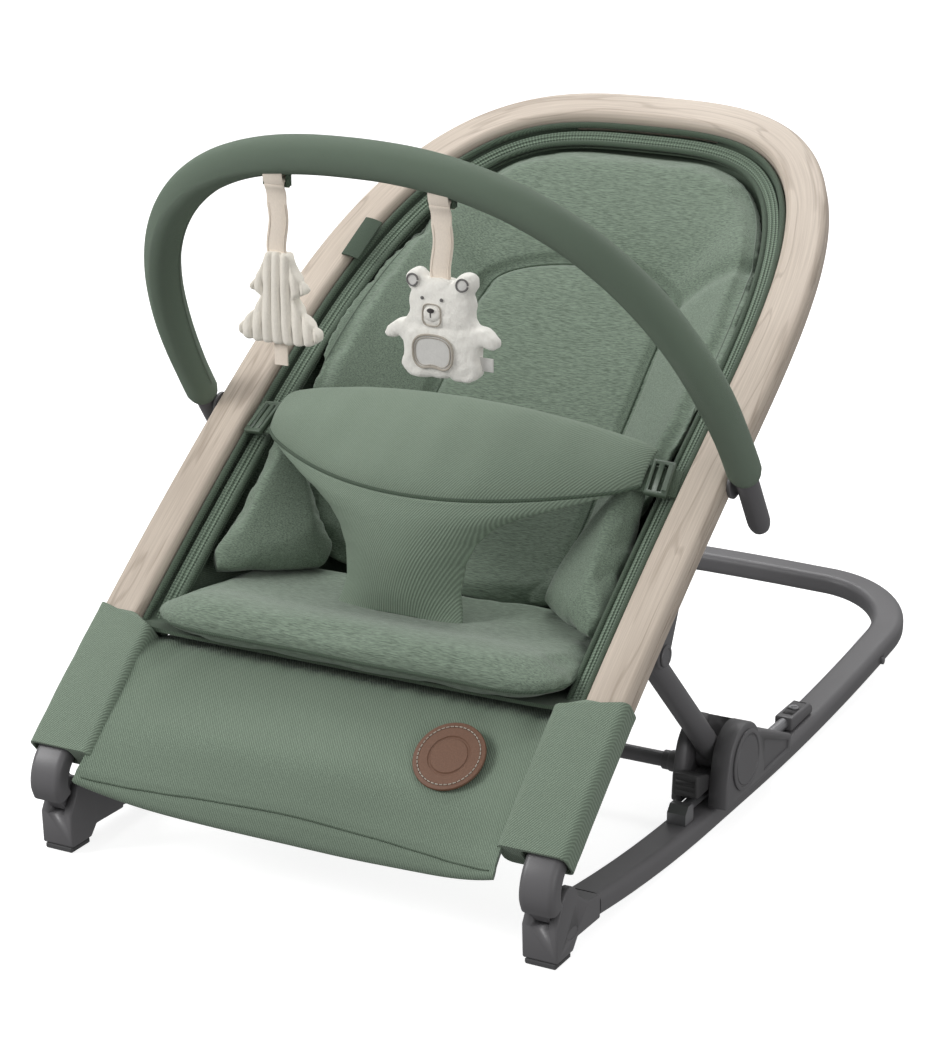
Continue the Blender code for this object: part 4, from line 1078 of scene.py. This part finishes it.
def make_cover():
    """The dark hammock cloth behind the padding."""
    def place(t, f):
        centre = spline(SLING, t)
        power = float(np.interp(centre[0], (0.21, 0.30), (10.0, 4.6)))
        half = max(0.075, head_half(min(float((centre - np.array(SEAT_BASE)) @ ALONG), 0.5560), STRIP_W))
        return (sling_point(t, f * (half - 0.0042), 0.0, power),
                sling_point(t, f * (half - 0.0010), -0.0028, power))

    top, bottom = grids(np.linspace(sling_t(0.074), sling_t(0.5680), 96), sine_steps(61), place)
    cloth = new_object("hammock", *shell(top, bottom), "cover", smooth=80)
    declare(top)
    finish_piece(cloth, "seat", "sage_twill", "seat_cover")


def rim_plan(inset, start, count=260):
    """(x, s) of a line that keeps the same distance from the wood all the way round, from right to left."""
    plan = even(outline(STRIP_W / 2, 90, start), count)
    step = np.gradient(plan, axis=0)
    step /= np.linalg.norm(step, axis=1)[:, None]
    return plan + np.stack([-step[:, 1], step[:, 0]], axis=1) * (inset - STRIP_W / 2)


def make_edging():
    """Between the wood and the padding: the hammock's hem, a rolled piping, a zip tape and an inner roll."""
    path, sides, ups = framed(rim_plan(STRIP_W + 0.0065, -0.030), -0.0112)
    hem = [(-0.0122, -0.0008), (0.0122, -0.0008), (0.0122, 0.0008), (-0.0122, 0.0008)]
    finish_piece(swept("rim_hem", path, sides, ups, hem, "cover"), "seat", "sage_twill")
    for name, inset, lift, radius in (("piping", STRIP_W + 0.0034, 0.0012, 0.0026),
                                      ("inner_roll", STRIP_W + 0.0185, -0.0062, 0.0022)):
        path = framed(rim_plan(inset, -0.014), lift)[0]
        finish_piece(tube("rim_" + name, path, radius, "edging", 12), "seat", "sage_twill")
    path, sides, ups = framed(rim_plan(STRIP_W + 0.0118, -0.014), -0.0048)
    tilt, width = 0.35, 0.0098
    sides, ups = sides * math.cos(tilt) + ups * math.sin(tilt), ups * math.cos(tilt) - sides * math.sin(tilt)
    section = [(-width / 2, -0.0008), (width / 2, -0.0008)]
    section += [(width * f, h) for f, h in ((0.5, 0.0004), (0.30, 0.0005), (0.24, 0.0012), (0.08, 0.0012),
                                            (0.04, 0.0002), (-0.04, 0.0002), (-0.08, 0.0012), (-0.24, 0.0012),
                                            (-0.30, 0.0005), (-0.5, 0.0004))]
    finish_piece(swept("rim_tape", path, sides, ups, section, "tape", 30), "seat", "green_webbing")


def cushion(name, sheet_point, half, u_range, low, thick, rim, rows, columns, power=5):
    """A crowned pad on a surface: half gives its half-width along it, and thick its height."""
    start, end = u_range

    def place(u, f):
        v = 2 * (u - start) / (end - start) - 1
        x = f * half(u)
        crown = max(0.0, 1 - abs(f) ** power) ** 0.5 * max(0.0, 1 - abs(v) ** (power * 2)) ** 0.5
        return (sheet_point(u, x, rim + (thick(x, u) - rim) * crown),
                sheet_point(u, x, rim - 0.0030 + (low - rim + 0.0030) * crown))

    us = start + (end - start) * (1 - np.cos(np.linspace(0, math.pi, rows))) / 2
    return new_object(name, *shell(*grids(us, sine_steps(columns), place)), "jersey", smooth=80)


def surface_line(name, target, starts, aims, radius, mat, slot):
    """A fine thread laid on a pad's surface where rays meet it."""
    mesh = target.data
    tree = BVHTree.FromPolygons([v.co for v in mesh.vertices], [p.vertices for p in mesh.polygons])
    shift, hits = (0, CENTRE_Y, 0), []
    for start, direction in zip(starts, aims):
        hit = tree.ray_cast(Vector(start) - Vector(shift), Vector(direction))[0]
        if hit is not None:
            hits.append(np.array(hit) + shift)
    line = np.array(hits)
    for _ in range(3):
        line[1:-1] = (line[:-2] + 2 * line[1:-1] + line[2:]) / 4
    finish_piece(tube(name, line, radius, mat, 8, ends=False), "seat", slot)


def make_seat_pad():
    """The seat cushion: a thick rounded lip in front, and a piping line round its lower edge."""
    places = (0.053, 0.056, 0.062, 0.072, 0.085, 0.120, 0.160, 0.226)
    halves = (0.120, 0.141, 0.156, 0.167, 0.172, 0.168, 0.160, 0.152)

    def half(t):
        return float(np.interp(spline(SLING, t)[0], places, halves))

    def thick(x, t):
        y = spline(SLING, t)[0]
        return 0.0265 - 0.0045 * math.exp(-(x / 0.075) ** 2) * math.exp(-((y - 0.185) / 0.05) ** 2)

    reach = sling_t(0.0530), sling_t(0.2260)
    pad = cushion("seat_cushion", sling_point, half, reach, 0.0050, thick, 0.0165, 50, 45)
    inflate(pad, 0.0045, 4.0, 0.0045)
    wrinkle(pad, 0.05, 0.0012, 3.0)
    finish_piece(pad, "seat", "sage_jersey", "seat_pad")
    turns = np.linspace(-0.12, math.pi + 0.12, 120)
    starts = [(0.26 * math.cos(a), 0.125 - 0.16 * math.sin(a), 0.1625) for a in turns]
    aims = [(-0.88 * math.cos(a), 0.45 * math.sin(a) + 0.02, 0.0) for a in turns]
    surface_line("seat_piping", pad, starts, aims, 0.0015, "edging", "sage_jersey")


def back_outline():
    """(s, x) along the right edge of the back cushion, up to the top of its head."""
    plan = rim_plan(BACK_INSET, 0.10, 400)
    high = plan[(plan[:, 0] > 0.004) & (plan[:, 1] > 0.27)]
    drawn_in = 0.002 * np.exp(-(high[:, 1] - 0.27) / 0.03)
    s = np.concatenate([[0.10, 0.14, 0.19, 0.24], high[:, 1]])
    x = np.concatenate([[0.122, 0.138, 0.152, 0.161], high[:, 0] - drawn_in])
    return s, x


def make_back_pad():
    """Head and back cushion: a flat arch-topped centre panel between puffy bolsters."""
    edge_s, edge_x = back_outline()

    def half(s):
        return float(np.interp(s, edge_s, edge_x))

    def thick(x, s):
        bolster = 1 / (1 + math.exp(-(abs(x) - 0.100) / 0.009))
        head = 1 / (1 + math.exp(-(s - 0.435) / 0.012))
        return 0.0160 + 0.0080 * max(bolster, 0.8 * head)

    reach = 0.112, float(edge_s[-1]) - 0.0005
    pad = cushion("back_cushion", bowl_point, half, reach, 0.0040, thick, 0.0100, 76, 51, 7)
    inflate(pad, 0.0048, 4.0, 0.0050)
    width, top = 0.083, 0.378
    arch = [(-width, 0.150), (-width, top)]
    arch += [(-width * math.cos(a), top + 0.044 * math.sin(a) ** 0.8)
             for a in np.linspace(0.12, math.pi - 0.12, 24)]
    arch += [(width, top), (width, 0.150)]
    groove(pad, arch, 0.0060, 0.0040)
    groove(pad, arch, 0.0022, 0.0150)
    for side in (-1, 1):
        valley = [(side * width, top + 0.008), (side * 0.115, top + 0.028), (side * 0.160, top + 0.040)]
        groove(pad, valley, 0.0036, 0.0100)
    wrinkle(pad, 0.06, 0.0014, 7.0)
    finish_piece(pad, "seat", "sage_jersey", "back_pad")
    plan = rim_plan(BACK_INSET + 0.0085, 0.15, 300)
    for name, line, radius, mat in (("back_seam", even(arch, 220), 0.0010, "edging"),
                                    ("back_hem", plan[plan[:, 1] > 0.20], 0.0006, "green_thread")):
        starts = [seat_point(x, s, 0.05) for x, s in line]
        surface_line(name, pad, starts, [(0, -OUT[0], -OUT[1])] * len(starts), radius, mat, "sage_jersey")


def make_wing(tag, side):
    """The padded gusset beside the hips, from the seat's edge in to the backrest."""
    corners = list(np.array([(0.164, 0.138, 0.176), (0.088, 0.206, 0.172), (0.152, 0.246, 0.280)]))
    normal = np.cross(corners[1] - corners[0], corners[2] - corners[0])
    normal /= np.linalg.norm(normal)
    middle = sum(corners) / 3
    edge = []
    for a, b in zip(corners, corners[1:] + corners[:1]):
        for f in np.linspace(0.10, 0.90, 14):
            point = a + (b - a) * f
            edge.append(point - (middle - point) * 0.10 * math.sin(math.pi * f))
    rings = [[p + normal * d for p in edge] for d in (-0.007, 0.007)]
    wing = new_object("hip_wing_" + tag, *mirrored(loft(rings), side), "jersey")
    inflate(wing, 0.0042, 5.0, 0.0080)
    wrinkle(wing, 0.04, 0.0010, 2.0 + side)
    finish_piece(wing, "seat", "sage_jersey", "side_wing_" + tag)


def make_front_panel():
    """The stretched cloth between the sleeves: bulging low down, tucked under the seat, and hemmed."""
    rows, tucked, columns = 52, 10, 69

    def hem_at(v):
        return 0.030 + 0.075 * (1 - v * v)

    def place(i, j):
        u, v = i / (rows - 1), 2 * j / (columns - 1) - 1
        swell = -0.0040 + 0.0135 * (1 - v * v) * math.sin(math.pi * min(1.0, u)) ** 0.8
        swell += 0.0130 * abs(v) ** 5 * min(1.0, max(0.0, (1.02 - u) / 0.25))
        swell += 0.0050 * (1 - abs(v) ** 4) * math.exp(-((u - 0.36) / 0.17) ** 2)
        near = math.exp(-((abs(v) - 1.0) / 0.30) ** 2) * math.exp(-((u - 0.95) / 0.28) ** 2)
        swell += 0.0020 * near * math.sin(8 * u + 24 * abs(v) + (2.0 if v < 0 else 0.4))
        swell += 0.0009 * math.exp(-((u - 0.97) / 0.07) ** 2) * math.sin(64 * v + 3 * math.sin(9 * v))
        swell += 0.0012 * noise.noise(Vector((v * 2.6, u * 2.2, 4.2)))
        swell -= 0.0018 * math.exp(-((u - hem_at(v)) / 0.012) ** 2) + 0.050 * max(0.0, hem_at(v) - u)
        swell -= 0.022 * max(0.0, (u - 0.93) / 0.2) ** 1.5
        x, s = (0.1672 + 0.0040 * max(0.0, 1 - u) ** 3) * v, -0.150 + 0.134 * u
        return seat_point(x, s, swell), seat_point(x, s, swell - 0.0035)

    top, bottom = grids(range(rows + tucked), range(columns), place)
    cloth = new_object("front_cloth", *shell(top, bottom), "twill_panel", smooth=80)
    declare(top)
    finish_piece(cloth, "seat", "sage_twill", "front_panel")
    line = []
    for j in range(1, columns - 1):
        row = (rows - 1) * hem_at(2 * j / (columns - 1) - 1)
        low = top[int(row)][j] * (1 - row % 1) + top[int(row) + 1][j] * (row % 1)
        line.append(low + (0, -0.0003, 0.0002))
    finish_piece(tube("front_hem", line, 0.0006, "cover", 8), "seat", "sage_twill")


def make_sleeve(tag, side):
    """The cloth sleeve over the end of the wood strip, with a rolled edge at each end."""
    centre, length, width, inward = OUTER_HALF - STRIP_W / 2, 0.127, 0.0528, 0.0082
    outer, inner = [], []
    spots = np.concatenate([[-0.1280, -0.1277], np.linspace(-0.1270, -0.0020, 34), [-0.0013, -0.0010]])
    ring_in = rounded_rect(STRIP_W + 0.0014, STRIP_T + 0.0014, 0.0050, 7)
    for k, s in enumerate(spots):
        up, middle = seat_normal(s), seat_point(centre, s)
        rim = 0.0012 if k in (0, len(spots) - 1) else 0.0
        fold = sum(0.0007 * math.exp(-((s + place) / 0.0012) ** 2) for place in (0.118, 0.011))
        slant = np.array((0.0, *ALONG)) * (s + 0.128) / length
        outer.append([])
        for a, b in rounded_rect(width - 2 * rim - fold, 0.0252 - 2 * rim - fold, 0.0062, 7):
            soft = 0.0006 * noise.noise(Vector((a * 60, b * 60, s * 45 + side)))
            back = -0.005 - 0.013 * (width / 2 - a) / width
            outer[-1].append(middle + np.array((a - inward + soft, 0, 0)) + (b + soft) * up + slant * back)
        inner.append([middle + np.array((a, 0, 0)) + b * up - slant * 0.009 for a, b in ring_in])
    count = len(ring_in)
    verts, faces = loft(outer, caps=False)
    more, inside = loft(inner, caps=False)
    shift = len(verts)
    faces += [tuple(q + shift for q in reversed(f)) for f in inside]
    for start in (0, shift - count):
        faces += [(start + q, start + (q + 1) % count, shift + start + (q + 1) % count, shift + start + q)
                  for q in range(count)]
    sleeve = new_object("strip_sleeve_" + tag, *mirrored((verts + more, faces), side), "twill", smooth=60)
    finish_piece(sleeve, "seat", "sage_twill", "corner_sleeve_" + tag)


def make_badge():
    """A round leather patch with a stitched rim."""
    s, x, shrink, raised, stitches = -0.072, 0.107, 0.875, 0.0012, 44
    up = seat_normal(s)
    along = np.array((0.0, up[2], -up[1]))

    def place(a, b, radius, lift):
        r = radius * shrink
        return seat_point(x, s) + np.array((a, 0, 0)) * r + along * b * r + up * (lift + raised)

    profile = ((0.0303, 0.0084), (0.0305, 0.0088), (0.0305, 0.0098), (0.0300, 0.0104), (0.0270, 0.0107),
               (0.0262, 0.0101), (0.0254, 0.0106), (0.0180, 0.0107), (0.0172, 0.0100), (0.0160, 0.0100),
               (0.0152, 0.0107), (0.0020, 0.0108))
    rings = [[place(a, b, r, lift) for a, b in circle(1, 64)] for r, lift in profile]
    badge = new_object("round_badge", *loft(rings), "leather", smooth=30)
    finish_piece(badge, "seat", "brown_leather", "badge")
    for k in range(stitches):
        turns = [2 * math.pi * k / stitches + d for d in (-0.045, 0.0, 0.045)]
        ends = [place(math.cos(a), math.sin(a), 0.0262, 0.0108) for a in turns]
        finish_piece(tube(f"badge_stitch_{k:02d}", ends, 0.00042, "thread", 6), "seat", "brown_leather")


def make_label():
    """A plain folded cloth tag sewn in at the wood's inner edge."""
    def place(s, f):
        x, lift = -0.1842 + 0.0136 * f + (s - 0.379) * 0.02, 0.0118 - 0.0040 * f ** 2
        return seat_point(x, s, lift), seat_point(x, s, lift - 0.0014)

    top, bottom = grids(np.linspace(0.357, 0.401, 12), np.linspace(0, 1, 13), place)
    tag = new_object("rim_label", *shell(top, bottom), "label")
    declare(top)
    finish_piece(tag, "seat", "green_webbing", "side_label")


def belt_point(x, u):
    """Where the belt lies: u runs from its lower edge at 0 to its upper edge at 1."""
    f = min(1.0, abs(x) / BELT_HALF)
    s = (0.107 + 0.060 * f ** 2) * (1 - u) + (0.203 + 0.004 * f ** 2) * u
    return s, 0.044 - 0.030 * f ** 2 + 0.006 * math.sin(math.pi * u) * (1 - 0.5 * f ** 4)


def make_belt():
    """The padded flap of the waist belt, with a welt seam along its lower edge."""
    middle = 0.190

    def place(u, f):
        x = BELT_HALF * f
        s, n = belt_point(x, u)
        closing = max(0.0, (abs(f) - 0.90) / 0.10)
        s = middle + (s - middle) * (1 - 0.14 * closing ** 2)
        crown = max(0.0, 1 - abs(2 * u - 1) ** 5) ** 0.5 * max(0.0, 1 - abs(f) ** 20) ** 0.5
        soft = 0.0022 * noise.noise(Vector((x * 16, u * 1.6, 1.3)))
        soft -= 0.0010 * noise.noise(Vector((x * 45, u, 9)))
        return (seat_point(x, s, n - 0.0030 + (0.0050 + soft) * crown),
                seat_point(x, s, n - 0.0040 - 0.0060 * crown))

    top, bottom = grids((1 - np.cos(np.linspace(0, math.pi, 35))) / 2, sine_steps(91), place)
    belt = new_object("belt", *shell(top, bottom), "twill", smooth=80)
    finish_piece(belt, "seat", "sage_twill", "waist_belt")
    finish_piece(tube("belt_welt", even(top[0][3:-3], 120), 0.0017, "edging", 12), "seat", "sage_twill")


def make_crotch():
    """The T-shaped panel sewn to the belt's lower edge, which narrows to the strap between the legs."""
    def belt_edge(x):
        s, n = belt_point(x, 0.0)
        return seat_point(x, s, n - 0.0040)

    count = 50
    centre = smooth_path([(0.1440, 0.1690), (0.1385, 0.1900), (0.1375, 0.2150), (0.1440, 0.2390),
                          tuple(belt_edge(0.0)[1:])], count)
    places = (0.0, 0.22, 0.45, 0.60, 0.72, 0.82, 0.92, 1.0)
    halves = (0.0520, 0.0475, 0.0500, 0.0570, 0.0690, 0.0860, 0.1130, 0.1440)

    def place(row, f):
        v, (y, z) = row / (count - 1), centre[row]
        x = float(np.interp(v, places, halves)) * f
        offset = (belt_edge(x) - belt_edge(0.0)) * v ** 1.3
        crown = max(0.0, 1 - abs(f) ** 6) ** 0.5
        hang = 0.016 * f * f * math.sin(math.pi * v) ** 0.8 + 0.004 * (1 - v) * f * f
        soft = 0.0014 * noise.noise(Vector((x * 26, v * 2.4, 5.1)))
        soft += 0.0012 * math.sin(5.0 * v + 60 * abs(x)) * math.exp(-((abs(f) - 0.75) / 0.3) ** 2) * v
        middle = np.array((x, y + offset[1] + hang, z + offset[2]))
        return middle + (0, -0.0018 - (0.0022 + soft) * crown, 0), middle + (0, 0.0016 * crown, 0)

    top, bottom = grids(range(count), sine_steps(49), place)
    panel = new_object("crotch_strap", *shell(top, bottom), "twill", smooth=80)
    finish_piece(panel, "seat", "sage_twill", "crotch_panel")


def webbing_line():
    """The ends of the right webbing, and its directions across and up."""
    a, b = seat_point(0.1505, 0.178, 0.0105), seat_point(0.1812, 0.182, 0.0036)
    along = (b - a) / np.linalg.norm(b - a)
    up = np.cross(along, (0, *ALONG))
    up /= np.linalg.norm(up)
    return a, b, np.cross(up, along), up


def make_webbing(tag, side):
    """The side strap of the belt, from the hip to the wood."""
    a, b, across, _ = webbing_line()
    flip, count = np.array((side, 1, 1)), 8
    line = np.array([a + (b - a) * t for t in np.linspace(0, 1, count)])
    strap = bar("side_webbing_" + tag, line * flip, [across * flip] * count, 0.0250, 0.0016, "webbing")
    finish_piece(strap, "seat", "green_webbing", "belt_webbing_" + tag)


def make_buckle(tag, side):
    """A ladder-lock slider: a frame with two slots and a raised bar, on top of the webbing."""
    a, b, across, up = webbing_line()

    def piece(t0, t1, width, low, high):
        corners = ((-width, low), (width, low), (width, high), (-width, high))
        ends = (a + (b - a) * t0, a + (b - a) * t1)
        return loft([[p + across * q + up * r for q, r in corners] for p in ends])

    body = mirrored(piece(0.28, 0.82, 0.0160, 0.0012, 0.0050), side)
    part = new_object("slider_" + tag, *body, "green_plastic")
    soften(part, 0.0010)
    for t0, t1 in ((0.36, 0.45), (0.56, 0.66)):
        combine(part, "DIFFERENCE", side, piece(t0, t1, 0.0128, 0.0, 0.01))
    combine(part, "UNION", side, piece(0.68, 0.78, 0.0120, 0.0040, 0.0064))
    finish_piece(part, "seat", "green_plastic", "belt_buckle_" + tag)


# ---- what the frame's own nodes keep --------------------------------------------------------

def dress_kept_nodes():
    """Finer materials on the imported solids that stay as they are."""
    kept = {"foot_pad": "rubber", "guide_rod": "steel", "rear_stand": "plastic"}
    for name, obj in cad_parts.items():
        for start, mat in kept.items():
            if name.startswith(start):
                obj.data.materials.clear()
                obj.data.materials.append(MAT[mat])


# ---- stage ---------------------------------------------------------------------------------

def make_camera():
    """The camera, which looks at a target from a distance, with a slight roll."""
    azimuth, elevation, distance = math.radians(28.695), math.radians(18.354), 2.2352
    roll = math.radians(-0.238)
    target = Vector((-0.0038, -0.0937, 0.2037))
    away = Vector((math.sin(azimuth) * math.cos(elevation), -math.cos(azimuth) * math.cos(elevation),
                   math.sin(elevation)))
    level = Vector((math.cos(azimuth), math.sin(azimuth), 0.0))
    right = math.cos(roll) * level + math.sin(roll) * away.cross(level)
    camera = bpy.data.objects.new("camera", bpy.data.cameras.new("camera"))
    camera.rotation_euler = Matrix((right, away.cross(right), away)).transposed().to_euler()
    camera.location = target + away * distance
    focal_pixels, sensor_mm, picture_pixels = 2950, 36, 1050
    camera.data.lens = focal_pixels * sensor_mm / picture_pixels
    bpy.context.scene.collection.objects.link(camera)
    bpy.context.scene.camera = camera


def make_light(name, place, size, power):
    """A square area light, aimed at the middle of the seat."""
    data = bpy.data.lights.new(name, "AREA")
    data.shape, data.size, data.size_y, data.energy = "RECTANGLE", size, size, power
    light = bpy.data.objects.new(name, data)
    light.location = place
    aim = Vector((0.0, 0.0, 0.2)) - light.location
    light.rotation_euler = aim.to_track_quat("-Z", "Y").to_euler()
    bpy.context.scene.collection.objects.link(light)


def glowing(name, colour, strength):
    """A matt material with white emission."""
    mat, _, shader = nodes_of(name + "_look", colour, 0.9, specular=0.0)
    shader.inputs["Emission Color"].default_value = (1.0, 1.0, 1.0, 1.0)
    shader.inputs["Emission Strength"].default_value = strength
    MAT[name] = mat


def make_stage():
    """A white floor that only catches soft shadows, a plain white dome, a dim room, and three soft lights."""
    size = 12.0
    glowing("floor", (0.50, 0.50, 0.50), 0.84)
    corners = ((-size, -size), (size, -size), (size, size), (-size, size))
    floor = new_object("floor", [(x, y + CENTRE_Y, -0.0006) for x, y in corners], [(0, 1, 2, 3)], "floor")
    floor.visible_diffuse = floor.visible_glossy = False
    glowing("backdrop", (0.0, 0.0, 0.0), 1.0)
    dome = ball("backdrop", (0.0, CENTRE_Y, 0.0), (size * 0.95,) * 3, "backdrop", 32)
    dome.visible_diffuse = dome.visible_glossy = dome.visible_transmission = dome.visible_shadow = False
    world = bpy.data.worlds.new("studio")
    world.use_nodes = True
    tree = world.node_tree
    start = tree.nodes.new("ShaderNodeTexCoord")
    split = tree.nodes.new("ShaderNodeSeparateXYZ")
    tree.links.new(start.outputs["Generated"], split.inputs[0])
    rise = node(tree, "ShaderNodeMapRange", **{"From Min": -0.35, "From Max": 0.60,
                                               "To Min": 0.24, "To Max": 0.56})
    tree.links.new(split.outputs["Z"], rise.inputs["Value"])
    tree.links.new(rise.outputs["Result"], tree.nodes["Background"].inputs["Strength"])
    tree.nodes["Background"].inputs["Color"].default_value = (1.0, 1.0, 1.0, 1.0)
    bpy.context.scene.world = world
    make_light("top", (-0.3, 1.15, 2.2), 1.5, 34.0)
    make_light("key", (-1.7, -1.5, 1.5), 1.0, 35.0)
    make_light("fill", (2.3, -1.3, 0.8), 1.4, 12.0)
    bpy.context.scene.view_settings.view_transform = "Standard"


def build():
    make_camera()
    make_stage()
    dress_kept_nodes()
    make_base_frame()
    make_wood_frame()
    make_cross_tube()
    make_arch()
    for tag, side in (("L", -1), ("R", 1)):
        for make in (make_front_foot, make_guide_bracket, make_screw, make_front_knuckle,
                     make_leg_bracket, make_pivot_cap, make_arch_clip, make_leg, make_hub, make_hub_cap,
                     make_button, make_arch_end, make_toy_loop, make_sleeve, make_webbing, make_buckle,
                     make_wing):
            make(tag, side)
    make_strap("tree_strap", -1, 0.0560, "tree")
    make_strap("bear_strap", 1, 0.0570, "bear")
    make_tree()
    make_bear()
    make_cover()
    make_edging()
    make_seat_pad()
    make_back_pad()
    make_front_panel()
    make_badge()
    make_label()
    make_belt()
    make_crotch()


build()
